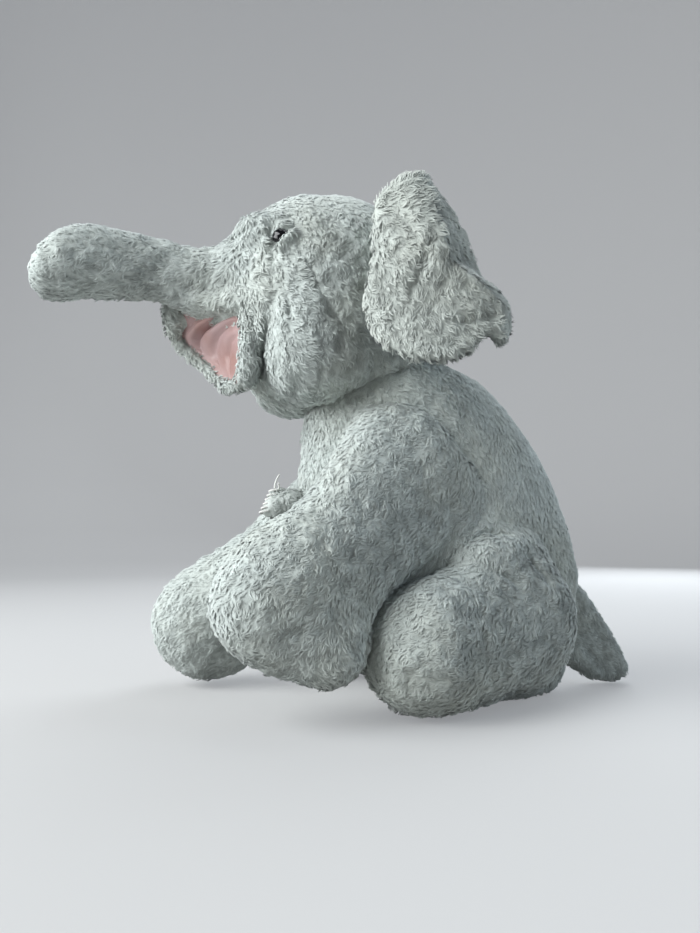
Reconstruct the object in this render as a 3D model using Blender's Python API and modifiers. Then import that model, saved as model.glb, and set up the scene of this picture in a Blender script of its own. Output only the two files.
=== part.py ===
# Stuffed elephant: a sewn plush toy, sitting upright.
#
# Frame: +Z up, the elephant faces -Y, its left side is +X, and the ground is
# z = 0. All dimensions below are millimetres; they become metres as meshes are
# made. Every plush panel is an open surface with a Solidify modifier, every
# stuffing is a closed loft that stays clear of its panels, and every moving
# piece has its origin on its joint's axis.

import bpy
import bmesh
import math
from mathutils import Vector

MM = 0.001

# ---------------------------------------------------------------- dimensions
PLUSH = 2.4            # thickness of the plush backing
FILL_GAP = 1.2         # room between a panel and the stuffing behind it
SEAM = 1.8             # open width of a seam between two panels
SATIN = 1.2            # thickness of the pink mouth lining

# Pivots, as (y, z) in the side view
NECK = (-38.0, 205.0)
NECK_TILT = 20.0       # the neck's axis leans forward by this angle
NECK_CORE_R = 69.0     # the torso's rounded top
NECK_BAND_R = 74.0     # outside of the neck band
NECK_CUP_R = 76.5      # the hollow under the head
NECK_HEAD_ANGLE = 58.0
NECK_TORSO_ANGLE = 78.0
JAW = (-152.0, 281.0)
TRUNK_A = (-205.0, 323.0)
TRUNK_B = (-262.0, 329.0)
TRUNK_BALL_R = 19.5
TRUNK_CUP_R = 20.5
TRUNK_SETBACK = 9.0
TRUNK_FILL_R = 22.0
EAR_HINGE_X = 80.0
EAR_HINGE_Y = -66.0
TAIL_HINGE_Y = 122.0

# Legs: shoulder or hip centre, foot centre, as (y, z)
SHOULDER_L, FOREFOOT_L = (-50.0, 165.0), (-143.0, 79.0)
SHOULDER_R, FOREFOOT_R = (-58.0, 148.0), (-164.0, 48.0)
HIP = (33.0, 62.0)
HINDFOOT_L, HINDFOOT_R = (-37.0, 46.5), (-26.0, 46.5)
LEG_INNER_X = 42.0     # the legs stay outside this plane
TORSO_LEG_X = 37.5     # the torso stays inside this plane beside the legs
FORELEG_SWING = 35.0
HINDLEG_SWING = 25.0

EYE_R = 6.0
EYE_Y, EYE_ANGLE = -142.0, 68.0


# ---------------------------------------------------------------- the scene
for old in list(bpy.data.objects):
    bpy.data.objects.remove(old, do_unlink=True)

toy = bpy.data.collections.new("stuffed_elephant")
bpy.context.scene.collection.children.link(toy)
tools = bpy.data.collections.new("cutters")
bpy.context.scene.collection.children.link(tools)


def material(name, colour, roughness, metallic=0.0):
    mat = bpy.data.materials.new(name)
    mat.use_nodes = True
    bsdf = mat.node_tree.nodes["Principled BSDF"]
    bsdf.inputs["Base Color"].default_value = (*colour, 1.0)
    bsdf.inputs["Roughness"].default_value = roughness
    bsdf.inputs["Metallic"].default_value = metallic
    return mat


GREY = (0.40, 0.43, 0.38)
GREY_BELLY = (0.44, 0.46, 0.41)
GREY_EAR_BACK = (0.33, 0.38, 0.40)
PINK = (0.62, 0.33, 0.30)
WHITE = (0.80, 0.80, 0.78)
BLACK = (0.006, 0.006, 0.007)


def pivot(name, location):
    """An empty on a joint's axis, which the moving pieces are parented to."""
    e = bpy.data.objects.new(name, None)
    e.empty_display_size = 0.02
    e.location = [c * MM for c in location]
    toy.objects.link(e)
    return e


def place(obj, mat, parent=None, collection=None):
    """Link an object, colour it, and hang it on its pivot."""
    (collection or toy).objects.link(obj)
    if mat:
        obj.data.materials.append(mat)
    if parent:
        obj.parent = parent
    return obj


def mesh_object(name, verts, faces, mat, parent=None, collection=None):
    """A mesh from points in millimetres, about its parent's location."""
    off = Vector(parent.location) if parent else Vector((0, 0, 0))
    me = bpy.data.meshes.new(name)
    me.from_pydata([Vector(v) * MM - off for v in verts], [], faces)
    me.update()
    obj = bpy.data.objects.new(name, me)
    for p in me.polygons:
        p.use_smooth = True
    return place(obj, mat, parent, collection)


def solidify(obj, thickness, offset=-1.0):
    m = obj.modifiers.new("thickness", 'SOLIDIFY')
    m.thickness = thickness * MM
    m.offset = offset
    m.use_even_offset = True
    m.use_rim = True
    return m


# ---------------------------------------------------------------- lofting
def pchip(xs, ys, x):
    """Smooth value at x through the points (xs, ys), without overshoot."""
    n = len(xs)
    if x <= xs[0]:
        return ys[0]
    if x >= xs[-1]:
        return ys[-1]
    h = [xs[i + 1] - xs[i] for i in range(n - 1)]
    d = [(ys[i + 1] - ys[i]) / h[i] for i in range(n - 1)]
    m = [0.0] * n
    m[0], m[-1] = d[0], d[-1]
    for i in range(1, n - 1):
        if d[i - 1] * d[i] > 0:
            w1, w2 = 2 * h[i] + h[i - 1], h[i] + 2 * h[i - 1]
            m[i] = (w1 + w2) / (w1 / d[i - 1] + w2 / d[i])
    i = max(k for k in range(n - 1) if xs[k] <= x)
    t = (x - xs[i]) / h[i]
    return ((2 * t ** 3 - 3 * t ** 2 + 1) * ys[i] + (t ** 3 - 2 * t ** 2 + t) * h[i] * m[i]
            + (-2 * t ** 3 + 3 * t ** 2) * ys[i + 1] + (t ** 3 - t ** 2) * h[i] * m[i + 1])


def smooth_rows(rows, count, power=2.0):
    """Resample rows (a, c, x, rf, rb, rl, rr). Radii go smoothly to round
    ends, because their squares are what is interpolated."""
    a0, a1 = rows[0][0], rows[-1][0]
    xs = [r[0] for r in rows] if a1 > a0 else [-r[0] for r in rows]
    out = []
    steps = []
    for k in range(count + 1):
        u = 0.5 - 0.5 * math.cos(math.pi * k / count)
        steps.append(0.55 * u + 0.45 * k / count)
    # one more row close to each round end, so that a panel reaches its tip
    if max(rows[0][3:7]) == 0:
        steps.insert(1, 0.0035)
    if max(rows[-1][3:7]) == 0:
        steps.insert(-1, 0.9965)
    for u in steps:
        x = xs[0] + u * (xs[-1] - xs[0])
        vals = [pchip(xs, [r[j] for r in rows], x) for j in (1, 2)]
        rad = [max(pchip(xs, [r[j] ** power for r in rows], x), 0.0) ** (1 / power)
               for j in (3, 4, 5, 6)]
        out.append((x if a1 > a0 else -x, *vals, *rad))
    return out


class Loft:
    """Rings of four quarter-ellipses on parallel planes.

    along: unit vector of the axis in (y, z). front: unit vector in (y, z) that
    angle 0 points to. Angle 90 points to the left, +X. keep: a function that
    moves a point out of a neighbour's space, called as keep(point, inset)."""

    def __init__(self, origin, along, front, rows, keep=None):
        self.o, self.t, self.n, self.rows, self.keep = origin, along, front, rows, keep

    def point(self, i, ang, inset=0.0, rows=None):
        a, c, x, rf, rb, rl, rr = (rows or self.rows)[i]
        ca, sa = math.cos(math.radians(ang)), math.sin(math.radians(ang))
        n = c + ca * (rf if ca > 0 else rb)
        p = (x + sa * (rl if sa > 0 else rr),
             self.o[0] + self.t[0] * a + self.n[0] * n,
             self.o[1] + self.t[1] * a + self.n[1] * n)
        return self.keep(p, inset) if self.keep else p

    def arc(self, i, ang, towards, width):
        """The angle that moves a point by width along row i."""
        step = 3.0 if towards > ang else -3.0
        run = (Vector(self.point(i, ang + step)) - Vector(self.point(i, ang))).length
        return min(3.0 * width / max(run, 1e-6), 0.3 * abs(towards - ang))

    def panel(self, name, i0, i1, a0, a1, cols, mat, parent=None, thick=PLUSH, gap=SEAM,
              trim0=0.0, trim1=0.0):
        """A plush panel: rows i0 to i1, angles a0 to a1, thickened inwards."""
        verts, faces = [], []
        for i in range(i0, i1 + 1):
            b0 = a0 + self.arc(i, a0, a1, 0.5 * gap)
            b1 = a1 - self.arc(i, a1, a0, 0.5 * gap)
            for k in range(cols + 1):
                p = Vector(self.point(i, b0 + (b1 - b0) * k / cols))
                if i == i0 and trim0:
                    q = Vector(self.point(i + 1, b0 + (b1 - b0) * k / cols))
                    p = p + (q - p).normalized() * trim0
                if i == i1 and trim1:
                    q = Vector(self.point(i - 1, b0 + (b1 - b0) * k / cols))
                    p = p + (q - p).normalized() * trim1
                verts.append(p)
        w = cols + 1
        for i in range(i1 - i0):
            for k in range(cols):
                faces.append((i * w + k, i * w + k + 1, (i + 1) * w + k + 1, (i + 1) * w + k))
        mid = (i1 - i0) // 2 * w + cols // 2
        fa = faces[((i1 - i0) // 2) * cols + cols // 2]
        nrm = (verts[fa[1]] - verts[fa[0]]).cross(verts[fa[2]] - verts[fa[0]])
        im = i0 + (i1 - i0) // 2
        r = self.rows[im]
        axis_pt = Vector((r[2], self.o[0] + self.t[0] * r[0] + self.n[0] * r[1],
                          self.o[1] + self.t[1] * r[0] + self.n[1] * r[1]))
        if nrm.dot(verts[mid] - axis_pt) < 0:
            faces = [tuple(reversed(f)) for f in faces]
        obj = mesh_object(name, verts, faces, mat, parent)
        solidify(obj, thick)
        return obj

    def solid(self, name, cols, mat, inset, parent=None, i0=0, i1=None, before=(), after=()):
        """A closed filling. Rows i0 to i1 are drawn in by inset, square to the
        surface; the rows in before and after are used as they are."""
        i1 = len(self.rows) - 1 if i1 is None else i1
        grid = [[Vector(self.point(i, 360.0 * k / cols)) for k in range(cols)]
                for i in range(i0, i1 + 1)]
        moved = draw_in(grid, inset)
        plain = Loft(self.o, self.t, self.n, list(before) + list(after))
        rings = [[Vector(plain.point(i, 360.0 * k / cols)) for k in range(cols)]
                 for i in range(len(before))]
        rings += moved
        rings += [[Vector(plain.point(i, 360.0 * k / cols)) for k in range(cols)]
                  for i in range(len(before), len(before) + len(after))]
        verts, faces, ids = [], [], []
        for ring in rings:
            mid = sum(ring, Vector()) / cols
            if max((v - mid).length for v in ring) < 0.8:
                ids.append([len(verts)])
                verts.append(mid)
            else:
                ids.append(list(range(len(verts), len(verts) + cols)))
                verts.extend(ring)
        for a, b in zip(ids, ids[1:]):
            for k in range(cols):
                j = (k + 1) % cols
                if len(a) == 1 and len(b) == 1:
                    continue
                if len(a) == 1:
                    faces.append((a[0], b[k], b[j]))
                elif len(b) == 1:
                    faces.append((a[k], b[0], a[j]))
                else:
                    faces.append((a[k], b[k], b[j], a[j]))
        for ring in (ids[0], ids[-1]):
            if len(ring) > 1:
                faces.append(tuple(ring))
        obj = mesh_object(name, verts, faces, mat, parent)
        bm = bmesh.new()
        bm.from_mesh(obj.data)
        bmesh.ops.recalc_face_normals(bm, faces=bm.faces)
        bm.to_mesh(obj.data)
        bm.free()
        return obj


def draw_in(grid, d):
    """Move each point of a ring grid inwards so that it is d from every face
    it touches."""
    rows, cols = len(grid), len(grid[0])
    centre = sum((v for ring in grid for v in ring), Vector()) / (rows * cols)
    quads = {}
    for i in range(rows - 1):
        mid = sum(grid[i] + grid[i + 1], Vector()) / (2 * cols)
        for k in range(cols):
            j = (k + 1) % cols
            n = (grid[i + 1][j] - grid[i][k]).cross(grid[i + 1][k] - grid[i][j])
            if n.length < 1e-6:
                continue
            quads[(i, k)] = n.normalized()
    # one sign for the whole grid: outward on most of its faces
    votes = 0
    for (i, k), n in quads.items():
        j = (k + 1) % cols
        face_mid = (grid[i][k] + grid[i + 1][k] + grid[i][j] + grid[i + 1][j]) / 4
        votes += 1 if n.dot(face_mid - centre) > 0 else -1
    if votes < 0:
        quads = {q: -n for q, n in quads.items()}
    out = []
    for i in range(rows):
        pole = max((v - grid[i][0]).length for v in grid[i]) < 0.5
        ring = []
        for k in range(cols):
            near = []
            for ii in (i - 1, i):
                ks = range(cols) if pole else ((k - 1) % cols, k)
                near += [quads[(ii, kk)] for kk in ks if (ii, kk) in quads]
            n = sum(near, Vector()).normalized()
            f = 1.0 / max(0.6, min(n.dot(m) for m in near))
            ring.append(grid[i][k] - n * d * f)
        out.append(ring)
    return out


# ---------------------------------------------------------------- clearances
def seg_dist(p, a, b):
    """Distance in the side view from p to the segment a-b."""
    ay, az = b[0] - a[0], b[1] - a[1]
    t = ((p[0] - a[0]) * ay + (p[1] - a[1]) * az) / (ay * ay + az * az)
    t = min(1.0, max(0.0, t))
    return math.hypot(p[0] - a[0] - t * ay, p[1] - a[1] - t * az)


def swung(centre, tip, deg):
    """Where the tip goes when the leg turns by deg about +X."""
    c, s = math.cos(math.radians(deg)), math.sin(math.radians(deg))
    y, z = tip[0] - centre[0], tip[1] - centre[1]
    return centre[0] + c * y - s * z, centre[1] + s * y + c * z


def leg_shadow(side):
    """Segments that a side's two legs sweep, with their half-thickness."""
    sh, ff = (SHOULDER_L, FOREFOOT_L) if side > 0 else (SHOULDER_R, FOREFOOT_R)
    out = []
    for k in range(6):
        out.append((sh, swung(sh, ff, -FORELEG_SWING * k / 5), 50.0))
    hf = HINDFOOT_L if side > 0 else HINDFOOT_R
    for k in range(4):
        out.append((HIP, swung(HIP, hf, HINDLEG_SWING * k / 3), 50.0))
    return out


SHADOW = {1: leg_shadow(1), -1: leg_shadow(-1)}
TILT = math.radians(NECK_TILT)
NECK_DIR = Vector((0.0, -math.sin(TILT), math.cos(TILT)))
NECK_PT = Vector((0.0, NECK[0], NECK[1]))


def keep_torso(p, inset):
    """The torso is slim beside the legs, round under the head, flat below."""
    x, y, z = p
    side = 1 if x >= 0 else -1
    d = min(seg_dist((y, z), a, b) - r for a, b, r in SHADOW[side])
    limit = TORSO_LEG_X - inset + 0.75 * max(0.0, d - 3.0)
    x = side * min(abs(x), limit)
    v = Vector((x, y, z)) - NECK_PT
    if v.length > 1e-6:
        phi = math.degrees(math.acos(max(-1, min(1, v.normalized().dot(NECK_DIR)))))
        if phi < NECK_TORSO_ANGLE and v.length > NECK_CORE_R - inset:
            v = v.normalized() * (NECK_CORE_R - inset)
            x, y, z = NECK_PT + v
    y = min(y, TAIL_HINGE_Y - 4.5 - inset)
    return (x, y, max(z, inset))


def keep_leg(side):
    def keep(p, inset):
        x = side * max(side * p[0], LEG_INNER_X + inset)
        return (x, p[1], max(p[2], inset))
    return keep


# ---------------------------------------------------------------- torso
# rows: height, centre, x, front radius, back radius, left, right
torso_sections = [
    # height, front y, back y, half width
    (0.0, 30.0, 44.0, 6.0), (0.0, 5.0, 69.0, 26.0), (0.0, -20.0, 92.0, 42.0),
    (7.0, -36.0, 103.0, 52.0), (25.0, -59.0, 111.0, 60.0), (55.0, -76.0, 114.0, 66.0),
    (90.0, -91.0, 111.0, 69.0), (125.0, -102.0, 103.0, 70.0), (160.0, -108.0, 92.0, 69.0),
    (188.0, -108.0, 77.0, 66.0), (210.0, -107.0, 64.0, 62.0), (229.0, -103.0, 50.0, 58.0),
    (245.0, -95.0, 33.0, 50.0), (258.0, -84.0, 12.0, 40.0), (267.0, -68.0, -8.0, 27.0),
    (272.5, -50.0, -28.0, 8.0)]
torso_rows = []
for h, f, b, w in torso_sections:
    c = 0.5 * (f + b) if h > 0 else 36.5
    torso_rows.append((h, -c, 0.0, c - f, b - c, w, w))
torso = Loft((0.0, 0.0), (0.0, 1.0), (-1.0, 0.0), torso_rows, keep_torso)
LAST = len(torso_rows) - 1

plush_side = material("plush_side", GREY, 0.95)
plush_belly = material("plush_belly", GREY_BELLY, 0.95)
filling = material("filling", WHITE, 0.9)

torso.panel("torso_side_left", 0, LAST, 23, 180, 13, plush_side)
torso.panel("torso_side_right", 0, LAST, 180, 337, 13, plush_side)
torso.panel("belly_panel", 0, LAST, -23, 23, 4, plush_belly)

INSET = PLUSH + FILL_GAP
torso.solid("torso_stuffing", 40, filling, INSET + 2.6)

# The hand-closed seam on the chest: a puckered plush nub whipped with thread.
NUB_Y, NUB_Z, NUB_LEN = -109.0, 148.0, 26.0
nub_mat = material("nub_plush", GREY, 0.95)
bm = bmesh.new()
bmesh.ops.create_cone(bm, cap_ends=True, segments=20, radius1=12.5 * MM, radius2=8.0 * MM,
                      depth=NUB_LEN * MM)
nub_me = bpy.data.meshes.new("closing_seam_nub")
bm.to_mesh(nub_me)
bm.free()
nub = bpy.data.objects.new("closing_seam_nub", nub_me)
nub.rotation_euler = (math.radians(90), 0, 0)
nub.location = (0, (NUB_Y - 1.6 - NUB_LEN / 2) * MM, NUB_Z * MM)
place(nub, nub_mat)
bev = nub.modifiers.new("rounding", 'BEVEL')
bev.width = 2.5 * MM
bev.segments = 2
bev.limit_method = 'ANGLE'

thread_pts = []
TURNS, STEPS = 4, 11
y_start = NUB_Y - 1.6 - 8.0
for k in range(TURNS * STEPS + 1):
    a = 2 * math.pi * k / STEPS
    along = 16.0 * k / (TURNS * STEPS)
    rad = 12.5 - 4.5 * (8.0 + along) / NUB_LEN + 1.15
    thread_pts.append((rad * math.sin(a), y_start - along, NUB_Z + rad * math.cos(a)))
last = thread_pts[-1]
for dx, dy, dz in ((0.5, -2.5, 4.0), (1.0, -3.0, 9.0), (0.0, -1.0, 15.0), (-1.5, 1.0, 20.0)):
    thread_pts.append((last[0] + dx, last[1] + dy, last[2] + dz))
curve = bpy.data.curves.new("closing_thread", 'CURVE')
curve.dimensions = '3D'
curve.bevel_depth = 0.55 * MM
curve.bevel_resolution = 1
curve.use_fill_caps = True
spl = curve.splines.new('POLY')
spl.points.add(len(thread_pts) - 1)
for q, p in zip(spl.points, thread_pts):
    q.co = (p[0] * MM, p[1] * MM, p[2] * MM, 1.0)
place(bpy.data.objects.new("closing_thread", curve), material("thread_white", WHITE, 0.7))

# ---------------------------------------------------------------- neck band
# A spherical band between the torso's rounded top and the hollow of the head.
neck_pivot = pivot("pivot_neck_turn", (0, *NECK))
band = bpy.data.meshes.new("neck_band")
steps = 7
pts = []
for k in range(steps + 1):
    phi = math.radians(57.0 + (24.0 - 57.0) * k / steps)
    pts.append((NECK_BAND_R * math.sin(phi) * MM, 0.0, NECK_BAND_R * math.cos(phi) * MM))
pts.reverse()
band.from_pydata(pts, [(k, k + 1) for k in range(steps)], [])
neck_band = bpy.data.objects.new("neck_band", band)
neck_band.rotation_euler = (TILT, 0, 0)
place(neck_band, material("plush_neck", GREY, 0.95), neck_pivot)
scr = neck_band.modifiers.new("turn", 'SCREW')
scr.axis = 'Z'
scr.angle = 2 * math.pi
scr.steps = 32
scr.render_steps = 32
scr.use_merge_vertices = True
scr.merge_threshold = 0.00001
scr.use_smooth_shade = True
solidify(neck_band, 2.6, -1.0)

# ---------------------------------------------------------------- head and trunk
head_pivot = pivot("pivot_head_nod", (0, *NECK))
# rows: y, centre z, up, down, half width
HEAD_ROWS = [(10, 305, 0, 0, 0), (-14, 307, 60, 56, 52), (-45, 310, 82, 80, 69),
             (-80, 312, 90, 88, 76), (-112, 312, 87, 86, 74), (-134, 312, 78, 77, 67),
             (-148, 313, 66, 58, 56), (-160, 316, 51, 40, 45), (-174, 319, 38, 34, 36),
             (-190, 321, 30, 30, 30), (-204, 323, 26, 26, 27)]
head_raw = [(-y, z, 0.0, u, d, w, w) for y, z, u, d, w in HEAD_ROWS]
head_rows = smooth_rows(head_raw, 20)
head = Loft((0.0, 0.0), (-1.0, 0.0), (0.0, 1.0), head_rows)


def row_near(loft, a):
    return min(range(len(loft.rows)), key=lambda i: abs(loft.rows[i][0] - a))


SEAM_ROW = row_near(head, 146.0)
END_ROW = row_near(head, -(TRUNK_A[0] + TRUNK_SETBACK))
plush_head = material("plush_head", GREY, 0.95)
plush_gusset = material("plush_gusset", GREY, 0.95)
side_l = head.panel("head_side_left", 1, SEAM_ROW, 15, 180, 13, plush_head, head_pivot, trim1=0.9)
side_r = head.panel("head_side_right", 1, SEAM_ROW, 180, 345, 13, plush_head, head_pivot, trim1=0.9)
head.panel("head_gusset", 1, SEAM_ROW, -15, 15, 4, plush_gusset, head_pivot, trim1=0.9)
head.panel("trunk_root_left", SEAM_ROW, END_ROW, 0, 138, 9, plush_head, head_pivot, trim0=0.9)
head.panel("trunk_root_right", SEAM_ROW, END_ROW, 222, 360, 9, plush_head, head_pivot, trim0=0.9)
satin = material("satin_pink", PINK, 0.45)
head.panel("palate_lining", SEAM_ROW, END_ROW, 138, 222, 8, satin, head_pivot, thick=SATIN, trim0=0.9)


def cup_rows(y, zc, cup_r):
    """Rows of the hollow in a tube's end that a ball sits in."""
    out = []
    a0 = math.degrees(math.asin(TRUNK_SETBACK / cup_r))
    for k in range(5):
        a = math.radians(a0 + (90.0 - a0) * k / 4)
        r = cup_r * math.cos(a)
        pos = -(y + cup_r * math.sin(a))
        out.append((pos, zc, 0.0, r, r, r, r))
    return out


def ball_rows(y, zc, ball_r):
    """Rows of the ball end that starts a trunk piece."""
    out = []
    for k in range(5):
        a = math.radians(90.0 - 90.0 * k / 4)
        r = ball_r * math.cos(a)
        out.append((-(y + ball_r * math.sin(a)), zc, 0.0, r, r, r, r))
    return out


r_end = TRUNK_FILL_R
head_fill = head.solid("head_stuffing", 26, filling, INSET, head_pivot, 0, END_ROW - 1, (),
                       [(-(TRUNK_A[0] + TRUNK_SETBACK), TRUNK_A[1], 0.0, r_end, r_end, r_end, r_end)]
                       + cup_rows(TRUNK_A[0], TRUNK_A[1], TRUNK_CUP_R))

# The hollow under the head, which turns and nods on the neck band.
bm = bmesh.new()
bmesh.ops.create_uvsphere(bm, u_segments=36, v_segments=20, radius=NECK_CUP_R * MM)
ball_me = bpy.data.meshes.new("neck_hollow")
bm.to_mesh(ball_me)
bm.free()
neck_hollow = bpy.data.objects.new("neck_hollow", ball_me)
neck_hollow.location = NECK_PT * MM
neck_hollow.rotation_euler = (TILT, 0, 0)
neck_hollow.hide_render = True
neck_hollow.display_type = 'WIRE'
tools.objects.link(neck_hollow)
for target in (side_l, side_r, head_fill):
    b = target.modifiers.new("neck_hollow", 'BOOLEAN')
    b.operation = 'DIFFERENCE'
    b.solver = 'EXACT'
    b.object = neck_hollow

# Eyes: glossy domed buttons on a shank, held by a lock washer inside.
eye_row = row_near(head, -EYE_Y)


def surface_frame(loft, i, ang):
    p = Vector(loft.point(i, ang))
    du = Vector(loft.point(i, ang + 4)) - Vector(loft.point(i, ang - 4))
    dv = Vector(loft.point(i + 1, ang)) - Vector(loft.point(i - 1, ang))
    n = du.cross(dv).normalized()
    if n.x < 0:
        n = -n
    return p, n


EYE_AT, EYE_DIR = surface_frame(head, eye_row, EYE_ANGLE)


def turned(name, profile, mat, at, direction, parent, collection=None, steps=20):
    """A profile (radius, height) turned about its own Z, aimed along direction."""
    me = bpy.data.meshes.new(name)
    me.from_pydata([(r * MM, 0, h * MM) for r, h in profile], [],
                   [])
    edges = [(k, k + 1) for k in range(len(profile) - 1)]
    if profile[0][0] > 0 and profile[-1][0] > 0:
        edges.append((len(profile) - 1, 0))
    me.clear_geometry()
    me.from_pydata([(r * MM, 0, h * MM) for r, h in profile], edges, [])
    obj = bpy.data.objects.new(name, me)
    q = Vector((0, 0, 1)).rotation_difference(direction)
    obj.rotation_mode = 'QUATERNION'
    obj.rotation_quaternion = q
    off = Vector(parent.location) if parent else Vector((0, 0, 0))
    obj.location = Vector(at) * MM - off
    place(obj, mat, parent, collection)
    m = obj.modifiers.new("turn", 'SCREW')
    m.axis = 'Z'
    m.steps = steps
    m.render_steps = steps
    m.use_merge_vertices = True
    m.merge_threshold = 0.00001
    m.use_smooth_shade = True
    return obj


eye_mat = material("eye_black", BLACK, 0.06)
washer_mat = material("washer_plastic", (0.55, 0.55, 0.53), 0.5)
dome = [(0.0, 4.6), (2.3, 4.25), (4.3, 3.1), (5.6, 1.6), (EYE_R, 0.6), (2.1, 0.55), (2.1, -9.0), (0.0, -9.4)]
ring = [(2.6, -4.4), (7.0, -4.4), (7.0, -6.0), (2.6, -6.0)]
for side, label in ((1, "left"), (-1, "right")):
    at = Vector((EYE_AT.x * side, EYE_AT.y, EYE_AT.z))
    n = Vector((EYE_DIR.x * side, EYE_DIR.y, EYE_DIR.z))
    turned("eye_" + label, dome, eye_mat, at, n, head_pivot)
    turned("eye_washer_" + label, ring, washer_mat, at, n, head_pivot)
    for tag, r, lo, hi, target in (("shank_hole_", 2.7, -6.0, 3.0, side_l if side > 0 else side_r),
                                   ("washer_pocket_", 8.4, -11.0, 3.0, head_fill)):
        bmc = bmesh.new()
        bmesh.ops.create_cone(bmc, cap_ends=True, segments=16, radius1=r * MM, radius2=r * MM,
                              depth=(hi - lo) * MM)
        cme = bpy.data.meshes.new(tag + label)
        bmc.to_mesh(cme)
        bmc.free()
        cut = bpy.data.objects.new(tag + label, cme)
        cut.rotation_mode = 'QUATERNION'
        cut.rotation_quaternion = Vector((0, 0, 1)).rotation_difference(n)
        cut.location = (at + n * 0.5 * (hi + lo)) * MM
        cut.hide_render = True
        cut.display_type = 'WIRE'
        tools.objects.link(cut)
        b = target.modifiers.new(tag + label, 'BOOLEAN')
        b.operation = 'DIFFERENCE'
        b.solver = 'EXACT'
        b.object = cut

# ---------------------------------------------------------------- jaw
jaw_pivot = pivot("pivot_jaw", (0, *JAW))


def jaw_bias(p, inset):
    """The lower lip reaches further forward on the right, where it is slack."""
    x, y, z = p
    t = min(1.0, max(0.0, (14.0 - x) / 34.0))
    t = t * t * (3 - 2 * t)
    reach = max(0.0, (z - 238.0) / 34.0)
    f = min(1.0, max(0.0, (-158.0 - y) / 14.0))
    return (x, y - 26.0 * t * reach * f, z)


jaw_sections = [(-270.0, -170.0, 17, 12, 30), (-262.0, -170.0, 18, 13, 33), (-252.0, -169.0, 16.5, 12.5, 32.5),
                (-243.0, -168.0, 13.5, 11, 27), (-236.5, -167.5, 8.5, 7.5, 17), (-233.0, -167.5, 3.0, 3.0, 6.0)]
jaw_rows = [(-a, -c, 0.0, f, b, w, w) for a, c, f, b, w in jaw_sections]
jaw = Loft((0.0, 0.0), (0.0, 1.0), (-1.0, 0.0), jaw_rows, jaw_bias)
plush_jaw = material("plush_jaw", GREY, 0.95)
jaw.panel("jaw_casing", 0, len(jaw_rows) - 1, 84, 276, 12, plush_jaw, jaw_pivot, thick=2.0)
jaw.panel("jaw_lining", 0, len(jaw_rows) - 1, -84, 84, 12, satin, jaw_pivot, thick=SATIN)
jaw.solid("jaw_stuffing", 20, filling, 3.2, jaw_pivot, 0, len(jaw_rows) - 2)

# ---------------------------------------------------------------- trunk pieces
trunk_mat = material("plush_trunk", GREY, 0.95)
under_mat = material("plush_trunk_under", GREY_BELLY, 0.95)


def trunk_piece(tag, start, end, rows_in, parent, last):
    """One stuffed length of trunk: two side panels, an under gusset, a fill."""
    rows = smooth_rows([(-y, z, 0.0, r, r, w, w) for y, z, r, w in rows_in], 6 if not last else 8)
    loft = Loft((0.0, 0.0), (-1.0, 0.0), (0.0, 1.0), rows)
    top = len(rows) - (2 if last else 1)
    loft.panel(tag + "_left", 0, top, 0, 138, 8, trunk_mat, parent)
    loft.panel(tag + "_right", 0, top, 222, 360, 8, trunk_mat, parent)
    loft.panel(tag + "_under", 0, top, 138, 222, 5, under_mat, parent)
    ball = ball_rows(start[0], start[1], TRUNK_BALL_R)
    if last:
        loft.solid(tag + "_stuffing", 20, filling, INSET, parent, 0, None, ball)
    else:
        r_e = TRUNK_FILL_R
        loft.solid(tag + "_stuffing", 20, filling, INSET, parent, 0, len(rows) - 2, ball,
                   [(-(end[0] + TRUNK_SETBACK), end[1], 0.0, r_e, r_e, r_e, r_e)]
                   + cup_rows(end[0], end[1], TRUNK_CUP_R))


ta = pivot("pivot_trunk_mid", (0, *TRUNK_A))
tb = pivot("pivot_trunk_tip", (0, *TRUNK_B))
trunk_piece("trunk_mid", TRUNK_A, TRUNK_B,
            [(-207.5, 323.2, 26.0, 26.5), (-230, 326, 26.0, 26.0), (TRUNK_B[0] + TRUNK_SETBACK, 328.5, 27.0, 27.0)],
            ta, False)
trunk_piece("trunk_tip", TRUNK_B, None,
            [(-264.5, 329.2, 27.5, 27.5), (-280, 329.5, 28.5, 28.0), (-296, 328, 26.5, 26.5), (-312, 326, 0, 0)],
            tb, True)


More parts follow.
